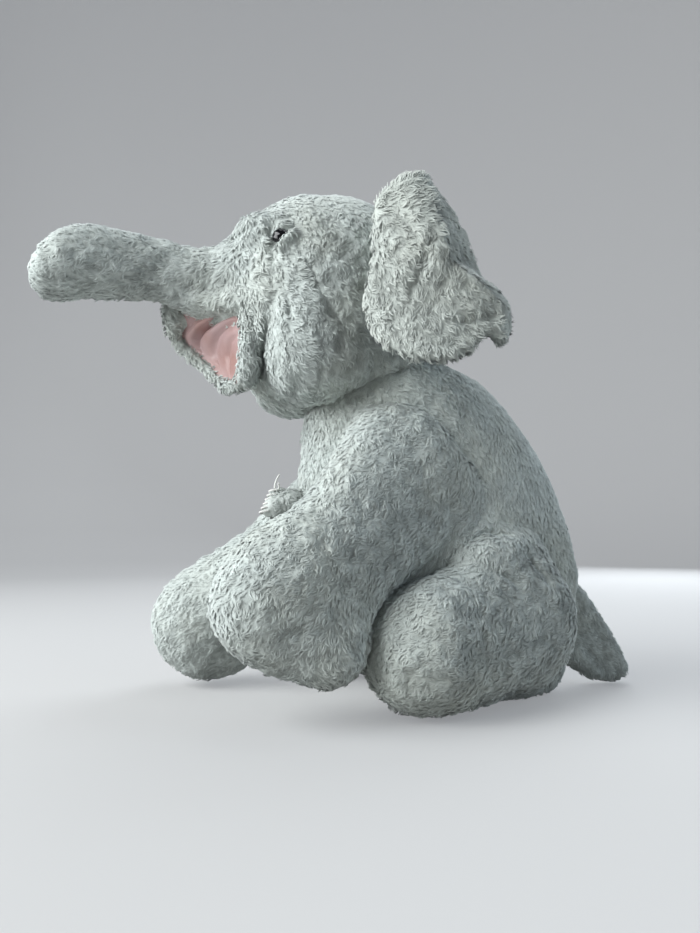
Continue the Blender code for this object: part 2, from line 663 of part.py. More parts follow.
# ---------------------------------------------------------------- ears
def ear(label, side):
    """Two flat layers, folded back along a ridge behind the head's side."""
    e = pivot("pivot_ear_" + label, (side * EAR_HINGE_X, EAR_HINGE_Y, 320.0))
    # height, front y, rear y, ridge x, rear x
    levels = [(240, -56, -34, 104, 106), (246, -63, -22, 108, 106), (256, -65, 2, 114, 103),
              (268, -65.5, 22, 118, 99), (282, -65.5, 18, 119, 99), (300, -65.5, 8, 118, 99),
              (320, -65.5, 0, 115, 98), (340, -65.5, -5, 110, 98), (358, -64.5, -12, 104, 97),
              (372, -62.5, -24, 98, 94), (381, -58, -36, 91, 90)]
    cols = 9
    for layer, off in (("front", 0.35), ("back", -0.35)):
        verts, faces = [], []
        for z, y0, y1, xr, xe in levels:
            for k in range(cols + 1):
                t = k / cols
                y = y0 + (y1 - y0) * t
                root = EAR_HINGE_X + 3.5 + max(0.0, 262 - z) * 0.7
                if t < 0.42:
                    q = t / 0.42
                    x = root + (xr - root) * math.sin(q * math.pi / 2)
                else:
                    q = (t - 0.42) / 0.58
                    x = xr + (xe - xr) * (1 - math.cos(q * math.pi / 2)) ** 1.0
                verts.append((side * x, y, z))
        w = cols + 1
        for i in range(len(levels) - 1):
            for k in range(cols):
                f = (i * w + k, i * w + k + 1, (i + 1) * w + k + 1, (i + 1) * w + k)
                faces.append(f if side > 0 else tuple(reversed(f)))
        obj = mesh_object("ear_" + label + "_" + layer, verts, faces,
                          plush_ear if layer == "front" else plush_ear_back, e)
        m = solidify(obj, 3.2, 1.25 if layer == "front" else -1.25)
    return e


plush_ear = material("plush_ear", GREY, 0.95)
plush_ear_back = material("plush_ear_back", GREY_EAR_BACK, 0.9)
ear("left", 1)
ear("right", -1)


# ---------------------------------------------------------------- legs
def leg(tag, side, centre, foot, width_end, r_top, r_foot):
    """A stuffed leg of an outer and an inner panel round one filling."""
    dy, dz = foot[0] - centre[0], foot[1] - centre[1]
    length = math.hypot(dy, dz)
    t = (dy / length, dz / length)
    n = (t[1], -t[0]) if t[1] * 0 - t[0] > 0 else (-t[1], t[0])
    p = pivot("pivot_" + tag, (side * 80.0, *centre))
    raw = []
    for a, rp, outer, xc in (
            (-r_top, 0.0, 0.0, width_end - 26), (-r_top * 0.55, r_top * 0.83, width_end - 8, width_end - 25),
            (0.0, r_top, width_end, width_end - 25), (length * 0.5, 0.5 * (r_top + r_foot) - 0.5, 0.5 * (width_end + 126), 76),
            (length, r_foot, 126, 84), (length + r_foot * 0.62, r_foot * 0.78, 118, 84), (length + r_foot, 0.0, 0, 84)):
        if rp == 0.0:
            raw.append((a, 0.0, xc, 0, 0, 0, 0))
        else:
            out = outer - xc
            inn = xc - LEG_INNER_X
            if a > length:
                inn = min(inn, out)
            raw.append((a, 0.0, xc, rp, rp, out, inn))
    rows = smooth_rows(raw, 13)
    if side < 0:
        rows = [(a, c, -x, f, b, inn, out) for a, c, x, f, b, out, inn in rows]
    loft = Loft(centre, t, n, rows, keep_leg(side))
    last = len(rows) - 2
    outer_mat = material("plush_" + tag, GREY, 0.95)
    half = (0, 180) if side > 0 else (180, 360)
    other = (180, 360) if side > 0 else (0, 180)
    loft.panel(tag + "_outer", 1, last, *half, 9, outer_mat, p)
    loft.panel(tag + "_inner", 1, last, *other, 9, outer_mat, p)
    loft.solid(tag + "_stuffing", 20, filling, INSET, p)


leg("foreleg_left", 1, SHOULDER_L, FOREFOOT_L, 94.0, 48.0, 47.0)
leg("foreleg_right", -1, SHOULDER_R, FOREFOOT_R, 94.0, 46.0, 47.5)
leg("hindleg_left", 1, HIP, HINDFOOT_L, 102.0, 48.0, 46.0)
leg("hindleg_right", -1, HIP, HINDFOOT_R, 102.0, 48.0, 46.0)

# ---------------------------------------------------------------- tail
# A flat tab of two layers, caught in the back seam and broadest at its root.
tail_pivot = pivot("pivot_tail", (0, TAIL_HINGE_Y, 52.0))
tail_mat = material("plush_tail", GREY, 0.95)
tail_levels = [(124.0, 18.0, 82.0), (130.0, 12.0, 75.0), (138.0, 6.5, 65.0), (147.0, 3.5, 53.0),
               (156.0, 3.0, 40.0), (164.0, 3.5, 28.0), (170.0, 6.0, 19.0)]
for label, side in (("left", 1), ("right", -1)):
    verts, faces = [], []
    cols = 6
    for i, (y, z0, z1) in enumerate(tail_levels):
        for k in range(cols + 1):
            z = z0 + (z1 - z0) * k / cols
            verts.append((side * 0.35, y, z))
    w = cols + 1
    for i in range(len(tail_levels) - 1):
        for k in range(cols):
            f = (i * w + k, (i + 1) * w + k, (i + 1) * w + k + 1, i * w + k + 1)
            faces.append(f if side > 0 else tuple(reversed(f)))
    obj = mesh_object("tail_" + label, verts, faces, tail_mat, tail_pivot)
    solidify(obj, 4.6, 1.0)
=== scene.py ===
# Looks of the stuffed elephant: plush skins, curly pile, satin mouth, eyes.
# Lengths in this script are millimetres, made metres as each mesh is written.
import math
import bpy
import numpy as np
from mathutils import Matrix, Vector, kdtree


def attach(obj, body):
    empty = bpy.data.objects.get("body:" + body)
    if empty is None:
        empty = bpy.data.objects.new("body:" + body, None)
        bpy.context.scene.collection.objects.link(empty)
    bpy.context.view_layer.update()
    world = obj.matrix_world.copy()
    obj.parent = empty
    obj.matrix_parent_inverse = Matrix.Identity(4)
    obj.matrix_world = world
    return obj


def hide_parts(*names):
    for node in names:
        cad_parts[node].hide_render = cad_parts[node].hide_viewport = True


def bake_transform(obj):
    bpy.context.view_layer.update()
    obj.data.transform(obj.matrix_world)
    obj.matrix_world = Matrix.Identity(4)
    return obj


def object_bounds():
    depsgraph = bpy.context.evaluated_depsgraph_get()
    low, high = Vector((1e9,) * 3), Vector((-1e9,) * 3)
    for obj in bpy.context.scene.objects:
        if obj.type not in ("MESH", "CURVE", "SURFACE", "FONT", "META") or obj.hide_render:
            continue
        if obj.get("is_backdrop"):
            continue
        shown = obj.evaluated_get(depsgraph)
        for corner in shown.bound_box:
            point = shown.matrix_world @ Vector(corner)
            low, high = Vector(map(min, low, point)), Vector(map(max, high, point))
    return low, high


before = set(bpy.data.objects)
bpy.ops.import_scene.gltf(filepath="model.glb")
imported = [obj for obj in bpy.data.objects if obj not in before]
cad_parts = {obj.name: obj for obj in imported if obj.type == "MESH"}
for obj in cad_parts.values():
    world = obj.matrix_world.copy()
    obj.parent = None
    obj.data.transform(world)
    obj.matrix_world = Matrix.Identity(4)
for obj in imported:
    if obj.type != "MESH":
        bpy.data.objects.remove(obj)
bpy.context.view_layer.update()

MM = 0.001
rng = np.random.default_rng(7)


# ------------------------------------------------------------ small numerics
def pchip(xs, ys, x):
    xs, ys = np.asarray(xs, float), np.asarray(ys, float)
    h = np.diff(xs)
    d = np.diff(ys) / h
    m = np.zeros(len(xs))
    m[0], m[-1] = d[0], d[-1]
    for i in range(1, len(xs) - 1):
        if d[i - 1] * d[i] > 0:
            w1, w2 = 2 * h[i] + h[i - 1], h[i] + 2 * h[i - 1]
            m[i] = (w1 + w2) / (w1 / d[i - 1] + w2 / d[i])
    x = np.clip(x, xs[0], xs[-1])
    i = np.clip(np.searchsorted(xs, x) - 1, 0, len(xs) - 2)
    t = (x - xs[i]) / h[i]
    return ((2 * t ** 3 - 3 * t ** 2 + 1) * ys[i] + (t ** 3 - 2 * t ** 2 + t) * h[i] * m[i]
            + (-2 * t ** 3 + 3 * t ** 2) * ys[i + 1] + (t ** 3 - t ** 2) * h[i] * m[i + 1])


def _hash(i, j, k, seed):
    n = (i.astype(np.uint32) * np.uint32(374761393) + j.astype(np.uint32) * np.uint32(668265263)
         + k.astype(np.uint32) * np.uint32(2246822519) + np.uint32(seed * 3266489917 & 0xffffffff))
    n = (n ^ (n >> np.uint32(13))) * np.uint32(1274126177)
    n = n ^ (n >> np.uint32(16))
    return n.astype(np.float64) / 2147483648.0 - 1.0


def noise(p, size, seed=0):
    """Smooth noise from -1 to 1 with features about size across."""
    q = p / size + 1000.0
    f = np.floor(q).astype(np.int64)
    t = q - f
    t = t * t * t * (t * (t * 6 - 15) + 10)
    out = 0.0
    for a in (0, 1):
        wa = t[:, 0] if a else 1 - t[:, 0]
        for b in (0, 1):
            wb = t[:, 1] if b else 1 - t[:, 1]
            for c in (0, 1):
                wc = t[:, 2] if c else 1 - t[:, 2]
                out = out + wa * wb * wc * _hash(f[:, 0] + a, f[:, 1] + b, f[:, 2] + c, seed)
    return out


def sstep(a, b, x):
    t = np.clip((x - a) / (b - a), 0, 1)
    return t * t * (3 - 2 * t)


def smin(a, b, k):
    h = np.clip(0.5 + 0.5 * (b - a) / k, 0, 1)
    return b * (1 - h) + a * h - k * h * (1 - h)


def smax(a, b, k):
    return -smin(-a, -b, k)


def groove(p, pts, width, depth, x0=15.0, side=0):
    """A soft fold pressed into the side of a piece, along points in (y, z)."""
    y, z = p[:, 1], p[:, 2]
    best = np.full(len(y), 1e9)
    run = np.zeros(len(y))
    n = len(pts) - 1
    for i in range(n):
        (ay, az), (by, bz) = pts[i], pts[i + 1]
        ey, ez = by - ay, bz - az
        t = np.clip(((y - ay) * ey + (z - az) * ez) / (ey * ey + ez * ez), 0, 1)
        d = (y - ay - t * ey) ** 2 + (z - az - t * ez) ** 2
        m = d < best
        best = np.where(m, d, best)
        run = np.where(m, (i + t) / n, run)
    fade = np.clip(np.sin(np.clip(run, 0.06, 0.94) * math.pi) * 1.8, 0, 1)
    x = np.abs(p[:, 0]) if side == 0 else side * p[:, 0]
    return depth * fade * np.exp(-best / (width * width)) * sstep(x0 - 8, x0 + 8, x)


def tube(p, pts, r):
    """A soft roll of radius r along points (x, y, z)."""
    best = np.full(len(p), 1e9)
    for a, b in zip(pts[:-1], pts[1:]):
        a, b = np.array(a, float), np.array(b, float)
        e = b - a
        t = np.clip(((p - a) @ e) / (e @ e), 0, 1)
        d = np.linalg.norm(p - a - t[:, None] * e, axis=1)
        best = np.minimum(best, d)
    return best - r


def ball(p, c, r):
    """An ellipsoid with centre c and radii r."""
    q = (p - np.array(c, float)) / np.array(r, float)
    k0 = np.linalg.norm(q, axis=1)
    k1 = np.linalg.norm(q / np.array(r, float), axis=1)
    return k0 * (k0 - 1.0) / np.maximum(k1, 1e-6)


# ------------------------------------------------------------ shapes as fields
class Rows:
    """A body given by elliptical sections along a straight axis in (y, z)."""

    def __init__(self, o, t, n, rows):
        self.o, self.t, self.n = o, t, n
        rows = sorted(rows)
        a = [r[0] for r in rows]
        self.a = np.linspace(a[0], a[-1], 500)
        u = (self.a - a[0]) / (a[-1] - a[0])
        self.tab = [pchip(a, [r[j] for r in rows], self.a) for j in (1, 2)]
        self.tab += [np.sqrt(np.maximum(pchip(a, [r[j] ** 2 for r in rows], self.a), 0))
                     for j in (3, 4, 5, 6)]

    def __call__(self, p):
        y, z = p[:, 1] - self.o[0], p[:, 2] - self.o[1]
        a = y * self.t[0] + z * self.t[1]
        b = y * self.n[0] + z * self.n[1]
        c, x, rf, rb, rl, rr = [np.interp(a, self.a, t) for t in self.tab]
        out = np.maximum(np.maximum(self.a[0] - a, a - self.a[-1]), 0)
        db, dx = b - c, p[:, 0] - x
        r1 = np.maximum(np.where(db > 0, rf, rb), 0.6)
        r2 = np.maximum(np.where(dx > 0, rl, rr), 0.6)
        m = np.minimum(r1, r2)
        return (np.sqrt((db / r1) ** 2 + (dx / r2) ** 2) - 1) * m + out


class Sheet:
    """A padded flat piece: an outline in (y, z), a mid-surface x(y, z)."""

    def __init__(self, outline, mid, half, round_=None):
        pts = np.array(outline, float)
        n = len(pts)
        fine = []
        for i in range(n):
            p0, p1, p2, p3 = pts[i - 1], pts[i], pts[(i + 1) % n], pts[(i + 2) % n]
            for t in np.linspace(0, 1, 6)[:-1]:
                fine.append(0.5 * ((2 * p1) + (-p0 + p2) * t + (2 * p0 - 5 * p1 + 4 * p2 - p3) * t * t
                                   + (-p0 + 3 * p1 - 3 * p2 + p3) * t ** 3))
        self.poly = np.array(fine)
        self.mid, self.half = mid, half

    def edge(self, y, z):
        d = np.full(len(y), 1e9)
        inside = np.zeros(len(y), bool)
        a = self.poly
        b = np.roll(a, -1, axis=0)
        for (ay, az), (by, bz) in zip(a, b):
            ey, ez = by - ay, bz - az
            t = np.clip(((y - ay) * ey + (z - az) * ez) / (ey * ey + ez * ez + 1e-9), 0, 1)
            d = np.minimum(d, (y - ay - t * ey) ** 2 + (z - az - t * ez) ** 2)
            cond = ((az > z) != (bz > z))
            xi = ay + (z - az) * ey / (ez if abs(ez) > 1e-9 else 1e-9)
            inside ^= cond & (y < xi)
        return np.where(inside, -np.sqrt(d), np.sqrt(d))

    def __call__(self, p):
        e = self.edge(p[:, 1], p[:, 2])
        h = self.half(p) if callable(self.half) else self.half
        dx = (p[:, 0] - self.mid(p))
        q = np.maximum(e + h, 0)
        return np.sqrt(q * q + dx * dx) - h


def swung(c, tip, deg):
    k, s = math.cos(math.radians(deg)), math.sin(math.radians(deg))
    y, z = tip[0] - c[0], tip[1] - c[1]
    return c[0] + k * y - s * z, c[1] + s * y + k * z


# ------------------------------------------------------------ the elephant
TORSO_Z = [(-0.6, 2, 70, 20), (0.0, -12, 88, 38), (4.0, -28, 99, 48), (12.0, -44, 106, 54), (25.0, -59, 111, 60),
           (55.0, -76, 114, 66), (90.0, -91, 111.5, 69), (125.0, -102, 104, 70), (160.0, -108, 93, 69),
           (188.0, -109, 79, 66), (210.0, -107, 66, 63), (229.0, -102, 53, 58), (245.0, -93, 38, 50),
           (258.0, -82, 18, 40), (268.0, -66, -6, 27), (274.0, -40, -36, 0)]
TORSO_Z = [(z, f, b + 6.0 * float(sstep(60, 100, z) * sstep(262, 235, z)) + 5.0 * float(sstep(40, 90, z) * sstep(235, 170, z)), w) for z, f, b, w in TORSO_Z]
_rows = [(z, -0.5 * (f + b), 0.0, 0.5 * (b - f), 0.5 * (b - f), w, w) for z, f, b, w in TORSO_Z]
torso_f = Rows((0, 0), (0, 1), (-1, 0), _rows)

SH = {1: ((-50.0, 165.0), (-142.0, 84.0)), -1: ((-58.0, 148.0), (-171.0, 54.0))}
HP = {1: ((33.0, 62.0), (-37.0, 46.5)), -1: ((33.0, 62.0), (-32.0, 46.0))}


def leg_rows(side, centre, foot, outer_top, inner_top, r_top, r_foot, outer_foot=125.0, inner_foot=41.0, waist=0.96, under=0.0, top=0.0):
    dy, dz = foot[0] - centre[0], foot[1] - centre[1]
    ln = math.hypot(dy, dz)
    t = (dy / ln, dz / ln)
    n = (-t[1], t[0])
    if n[0] > 0:
        n = (t[1], -t[0])
    raw = []
    for a, rp, outer, inner in ((-r_top * 1.02, 0, 0, 0), (-r_top * 0.6, r_top * 0.8, outer_top - 7, inner_top),
                                (0, r_top, outer_top, inner_top), (ln * 0.5, (r_top + r_foot) / 2 * waist, outer_top * 0.45 + outer_foot * 0.55 - 2, inner_foot - 1),
                                (ln * 0.97, r_foot, outer_foot, inner_foot), (ln + r_foot * 0.62, r_foot * 0.79, outer_foot - 9, inner_foot + 9),
                                (ln + r_foot, 0, 0, 0)):
        if rp == 0:
            raw.append((a, 0, 0.5 * (outer_foot + inner_foot) if a > 0 else 0.5 * (outer_top + inner_top), 0, 0, 0, 0))
        else:
            xc = 0.5 * (outer + inner)
            raw.append((a, 0, xc, rp - (top if 0 < a < ln * 0.9 else 0.2 * top if a > 0 else 0.0), rp + under * (0.0 if a <= 0 else 1.0), outer - xc, xc - inner))
    if side < 0:
        raw = [(a, c, -x, f, b, r, l) for a, c, x, f, b, l, r in raw]
    return Rows(centre, t, n, raw), t


fore_f, fore_t, hind_f, hind_t = {}, {}, {}, {}
for s_ in (1, -1):
    fore_f[s_], fore_t[s_] = leg_rows(s_, *SH[s_], 88.0, 36.0, 47.5, 45.0 if s_ > 0 else 48.5, outer_foot=122.0, waist=1.04, under=8.0 if s_ > 0 else 2.0, top=11.0)
    hind_f[s_], hind_t[s_] = leg_rows(s_, *HP[s_], 98.0, 36.0, 51.0, 45.5, outer_foot=123.0, waist=1.02)


def lumps(p, amp=1.2, size=38.0, seed=3):
    return amp * noise(p, size, seed) + 0.45 * amp * noise(p, size * 0.42, seed + 1)


HIP_FOLDS = (([(12, 101), (22, 95), (32, 87)], 2.6, 2.4), ([(42, 111), (50, 100), (62, 85)], 3.0, 2.0),
             ([(-6, 116), (2, 122), (14, 127), (28, 126)], 3.2, 3.0), ([(-66, 36), (-50, 34), (-34, 30)], 2.4, 1.3))


def hip_folds(p):
    g = 0.0
    for pts, w, d in HIP_FOLDS:
        g = g + groove(p, pts, w, d, 52.0)
    return g


def torso_skin(p):
    f = torso_f(p) + lumps(p)
    # the side is pressed in where the hind legs' fronts lie against it
    f = f + 3.0 * sstep(12, 0, np.minimum(np.abs(hind_f[1](p)), np.abs(hind_f[-1](p)))) * sstep(20, -20, p[:, 1])
    return np.maximum(f, -p[:, 2])


def foreleg_skin(side):
    def f(p):
        d = fore_f[side](p)
        if side > 0:
            d = smin(d, ball(p, (78, -106, 50), (36, 22, 24)), 26.0)
        g = smin(torso_f(p), d, 9.0 + 15.0 * sstep(-112, -72, p[:, 1]))
        sink = 2.6 * sstep(9.0, 26.0, d) + 6.5 * sstep(180.0, 204.0, p[:, 2]) * sstep(3.0, 20.0, d)
        g = np.maximum(g + sink, d - 28.0)
        g = np.maximum(g, -side * p[:, 0] + 16.0)
        # the underside draws in towards the hind leg
        gap = [(-104, 50), (-76, 70), (-49, 92), (-25, 109), (-14, 124), (-16, 146)]
        g = g + groove(p, gap, 5.0, 2.5, 40.0) + lumps(p, 1.3, 34.0, 11 + side)
        return np.maximum(g, -p[:, 2])
    return f


def hindleg_skin(side):
    def f(p):
        d = hind_f[side](p)
        t = torso_f(p)
        g = smin(t, d, 4.0 + 24.0 * sstep(-30, 25, p[:, 1]))
        g = smin(g, ball(p, (side * 72, 14, 113), (15, 18, 8)), 16.0)
        sink = 2.6 * sstep(9.0, 26.0, d)
        g = np.maximum(g + sink, d - 28.0)
        g = np.maximum(g, -side * p[:, 0] + 22.0)
        g = g + hip_folds(p) + lumps(p, 1.4, 36.0, 21 + side)
        return np.maximum(g, -p[:, 2])
    return f


HEAD_Y = [(11, 305, 0, 0, 0), (-14, 307, 56, 56, 52), (-45, 310, 76, 80, 69), (-80, 312, 84, 88, 75),
          (-112, 312, 82, 88, 73), (-134, 312, 73, 81, 66), (-148, 313, 62, 72, 57), (-158, 315, 51, 52, 48),
          (-170, 318, 36, 37, 39), (-184, 322, 22.5, 32, 31), (-200, 325, 20.5, 28, 27), (-222, 328, 20.5, 24, 24.5),
          (-245, 329, 22.5, 25.5, 25.5), (-268, 330, 24.5, 27, 27), (-286, 327.5, 25, 27, 27),
          (-300, 323, 20, 24, 23), (-308, 320, 12, 16, 15), (-312.5, 318.5, 0, 0, 0)]
head_f = Rows((0, 0), (-1, 0), (0, 1), [(-y, z, 0.0, u, d, w, w) for y, z, u, d, w in HEAD_Y])
EYES = {}
for name, sd_ in (("eye_left", 1), ("eye_right", -1)):
    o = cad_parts[name]
    pts = np.array([tuple(o.matrix_world @ v.co) for v in o.data.vertices]) * 1000.0
    mid_ = pts.mean(0)
    n_ = np.array([head_f(mid_[None] + d) - head_f(mid_[None] - d) for d in np.eye(3) * 0.5])[:, 0]
    n_ /= np.linalg.norm(n_)
    top_ = pts[np.argsort(pts @ n_)[-6:]].mean(0)
    t_ = np.array((0.0, 0.80, 0.60))
    t_ -= (t_ @ n_) * n_
    t_ /= np.linalg.norm(t_)
    b_ = np.cross(n_, t_)
    b_ *= np.sign(b_[2])
    EYES[sd_] = (top_ - 4.6 * n_, n_, t_, b_)


FACE_FOLDS = (([(-122, 325), (-116, 312), (-111, 298), (-101, 284), (-88, 266)], 2.6, 2.2),
              ([(-139, 312), (-136, 298), (-132, 287), (-131, 274)], 2.2, 1.8),
              ([(-172, 343), (-160, 349), (-152, 352)], 2.4, 2.2),
              ([(-146, 288), (-146, 264), (-147, 247), (-144, 234)], 4.0, 7.5))


def seam_dist(p):
    """Distance to the seam between the face and the trunk's root."""
    return np.abs(p[:, 1] + 143.0 + 0.05 * (p[:, 2] - 320.0))


def head_all(p):
    f = head_f(p)
    for s in (1, -1):
        # full cheeks, and a soft bulge over each eye
        f = smin(f, ball(p, (s * 43, -112, 262), (30, 36, 36)), 22.0)
        f = smin(f, ball(p, (s * 35, -146, 351), (19, 18, 12)), 16.0)
        # the hollow that each eye sits in, with the pile folded over it as lids
        c, n, t, b = EYES[s]
        f = smax(f, -ball(p, c + n * 2.5, (6.8, 6.8, 6.8)), 3.0)
        for k, r in ((5.8, 3.0), (-6.3, 2.9)):
            lid = [c + b * k * 0.9 - t * 8 - n * 0.6, c + b * k + n * 1.0, c + b * k * 0.9 + t * 8 - n * 0.6]
            f = smin(f, tube(p, lid, r), 4.5)
    # the upper lip rolls over the top of the lining
    f = smin(f, tube(p, [(39, -157, 295), (33, -170, 296.5), (16, -188, 302)], 6.0), 8.0)
    for pts, w, d in FACE_FOLDS:
        f = f + groove(p, pts, w, d)
    front = sstep(6.0, 0.0, seam_dist(p)) * sstep(375, 350, p[:, 2]) * sstep(228, 250, p[:, 2])
    return f + lumps(p, 1.0, 34.0, 5) + 2.2 * front * sstep(20, 40, np.abs(p[:, 0]))


RIDGE = ([240, 262, 284, 295, 303, 313, 333, 354, 370, 390], [2, 6, 3, -8, -22, -33, -38, -42, -47, -50])
EAR_X = ([240, 262, 300, 340, 370, 390], [114, 117, 118, 113, 106, 101])


def ear_mid(side):
    def mid(p):
        y, z = p[:, 1], p[:, 2]
        ridge = np.interp(z, *RIDGE)
        top = np.interp(z, *EAR_X)
        q = np.clip((y + 84.0) / (ridge + 84.0), 0, 1)
        x = 89.0 + (top - 89.0) * np.sin(q * math.pi / 2) ** 0.9
        r = np.clip(y - ridge, 0, 60)
        x = np.where(y < ridge, x, top - 0.8 * r ** 1.03)
        x = x + 1.8 * np.sin(z / 15.0 + y / 19.0) * sstep(-70, -40, y)
        x = x + 4.0 * sstep(262, 240, z)
        # the tip at the back turns in under the fold
        x = x - 7.0 * sstep(2, 20, y) * sstep(292, 270, z)
        return side * x
    return mid


EAR_OUT = [(-78, 346), (-77, 360), (-64, 371), (-50, 377), (-42, 376), (-30, 370), (-16, 357), (-6, 345), (-1, 328),
           (5, 310), (12, 292), (20, 282), (23.5, 274), (21, 266), (13, 259.5), (6, 259), (-2, 263), (-9, 259),
           (-15, 251), (-24, 246), (-34, 243), (-46, 243), (-58, 247), (-68, 254), (-77, 264), (-82, 276), (-84, 287),
           (-82, 299), (-79, 312), (-77, 328)]
ears = {s: Sheet(EAR_OUT, ear_mid(s), lambda p: 5.0 + 1.4 * sstep(-80, -50, p[:, 1])) for s in (1, -1)}


def ear_skin(side):
    def f(p):
        f = smin(ears[side](p), ball(p, (side * 82, -62, 318), (11, 12, 46)), 10.0)
        folds = groove(p, [(-72, 352), (-60, 338), (-52, 322), (-50, 306)], 3.0, 2.0, 60.0)
        folds = folds + groove(p, [(-44, 330), (-48, 312), (-56, 296), (-58, 284)], 3.0, 2.0, 60.0)
        folds = folds + groove(p, [(-34, 268), (-14, 272), (6, 276)], 3.0, 1.6, 60.0)
        return f + folds + lumps(p, 1.1, 24.0, 31 + side)
    return f


TAIL_OUT = [(112, 92), (127, 86), (144, 66), (160, 42), (172, 20), (175, 9), (168, 3.5), (152, 3.5), (138, 7), (122, 16), (110, 28)]
tail_f = Sheet(TAIL_OUT, lambda p: 0.0 * p[:, 0] + 1.5 * np.sin(p[:, 2] / 20.0), 7.5)


def tail_skin(p):
    return np.maximum(tail_f(p) + lumps(p, 0.8, 20.0, 41), -p[:, 2] + 0.5)


LIP = (([(36, -156.5, 292), (36.5, -156, 270), (35, -155.5, 253), (29, -157, 243)], 7.0),
       ([(29, -157, 243), (20, -161, 238), (9, -170, 238)], 4.8),
       ([(9, -170, 238), (-3, -176.5, 246), (-15, -183.5, 257), (-24, -192, 267)], 3.6),
       ([(-24, -192, 267), (-27, -199, 274), (-26, -205.5, 281), (-23, -209, 289)], 4.8),
       ([(-23, -209.5, 289), (-20, -210.5, 297), (-17, -210, 304), (-12, -206, 314)], 6.8))


def lips(p):
    f = 1e9
    for pts, r in LIP:
        f = smin(f, tube(p, pts, r), 3.0)
    return f


def lip_front(p):
    """y of the mouth's front face: square on the left, hanging forward on the right."""
    x, z = p[:, 0], p[:, 2]
    t = sstep(26.0, -20.0, x)
    reach = np.clip((z - 237.0) / 52.0, 0, 1.1)
    return -166.0 - 44.0 * t * reach


def jaw_face(p):
    """Above 0 in front of the padding's face, which lies close behind the lining near the lips and deeper inside."""
    return lip_front(p) + 8.5 + 8.5 * sstep(2.0, 14.0, lips(p)) - p[:, 1]


def jaw_block(p):
    x, y, z = p[:, 0], p[:, 1], p[:, 2]
    half = 34.0 * np.sqrt(np.clip(1 - ((262.0 - z) / 30.0).clip(0, 1) ** 2.4, 0, 1)) + 0.5
    back = -149.0 - 0.08 * (281.0 - z)
    fy = jaw_face(p)
    by = y - back
    sx = np.abs(x) - half
    sz = np.maximum(232.5 - z, z - 302.0)
    return smax(smax(fy, by, 8.0), smax(sx, sz, 8.0), 9.0) + 1.5


def jaw_skin(p):
    return smin(jaw_block(p), lips(p), 8.0) + lumps(p, 0.6, 18.0, 51)


# ------------------------------------------------------------ meshing a field
def surface_net(f, lo, hi, h):
    """Quads of the surface f = 0 on a grid of spacing h."""
    lo, hi = np.array(lo, float), np.array(hi, float)
    n = np.ceil((hi - lo) / h).astype(int) + 1
    ax = [lo[i] + h * np.arange(n[i]) for i in range(3)]
    F = np.empty(n)
    Y, Z = np.meshgrid(ax[1], ax[2], indexing="ij")
    chunk = max(1, int(400000 / (n[1] * n[2])))
    for i in range(0, n[0], chunk):
        xs = ax[0][i:i + chunk]
        P = np.empty((len(xs), n[1], n[2], 3))
        P[..., 0] = xs[:, None, None]
        P[..., 1] = Y
        P[..., 2] = Z
        F[i:i + chunk] = f(P.reshape(-1, 3)).reshape(len(xs), n[1], n[2])
    S = F < 0
    c = n - 1
    cnt = np.zeros(c, int)
    for a in (0, 1):
        for b in (0, 1):
            for d in (0, 1):
                cnt += S[a:a + c[0], b:b + c[1], d:d + c[2]]
    act = (cnt > 0) & (cnt < 8)
    idx = -np.ones(c, int)
    cells = np.argwhere(act)
    idx[act] = np.arange(len(cells))
    acc = np.zeros((len(cells), 3))
    num = np.zeros(len(cells))
    corners = [(a, b, d) for a in (0, 1) for b in (0, 1) for d in (0, 1)]
    for a in corners:
        for b in corners:
            if sum(b) == sum(a) + 1 and all(y >= x for x, y in zip(a, b)):
                fa = F[tuple((cells + a).T)]
                fb = F[tuple((cells + b).T)]
                m = (fa < 0) != (fb < 0)
                t = np.where(m, fa / np.where(m, fa - fb, 1), 0)[:, None]
                pt = np.array(a) + t * (np.array(b) - np.array(a))
                acc += np.where(m[:, None], pt, 0)
                num += m
    verts = lo + h * (cells + acc / num[:, None])
    quads = []
    for axis in range(3):
        o1, o2 = [i for i in range(3) if i != axis]
        sl_a = [slice(1, -1)] * 3
        sl_b = [slice(1, -1)] * 3
        sl_a[axis] = slice(0, -1)
        sl_b[axis] = slice(1, None)
        A, B = S[tuple(sl_a)], S[tuple(sl_b)]
        e = np.argwhere(A != B)
        if not len(e):
            continue
        inside_first = A[tuple(e.T)]
        base = e.copy()
        for i in (o1, o2):
            base[:, i] += 1
        q = []
        for d1, d2 in ((-1, -1), (0, -1), (0, 0), (-1, 0)):
            k = base.copy()
            k[:, o1] += d1
            k[:, o2] += d2
            q.append(idx[tuple(k.T)])
        q = np.stack(q, 1)
        flip = inside_first if axis != 1 else ~inside_first
        q[~flip] = q[~flip][:, ::-1]
        quads.append(q)
    return verts, np.concatenate(quads)


def grad(f, p, e=0.4):
    g = np.empty_like(p)
    for i in range(3):
        d = np.zeros(3)
        d[i] = e
        g[:, i] = (f(p + d) - f(p - d)) / (2 * e)
    return g


def settle(f, v, steps=3):
    """Moves points onto f = 0 and gives the outward normals."""
    for _ in range(steps):
        g = grad(f, v)
        k = np.maximum((g * g).sum(1), 0.05)
        step = (f(v) / k)[:, None] * g
        ln = np.linalg.norm(step, axis=1)[:, None]
        v = v - step * np.minimum(1, 2.0 / np.maximum(ln, 1e-9))
    g = grad(f, v)
    return v, g / np.maximum(np.linalg.norm(g, axis=1)[:, None], 1e-9)


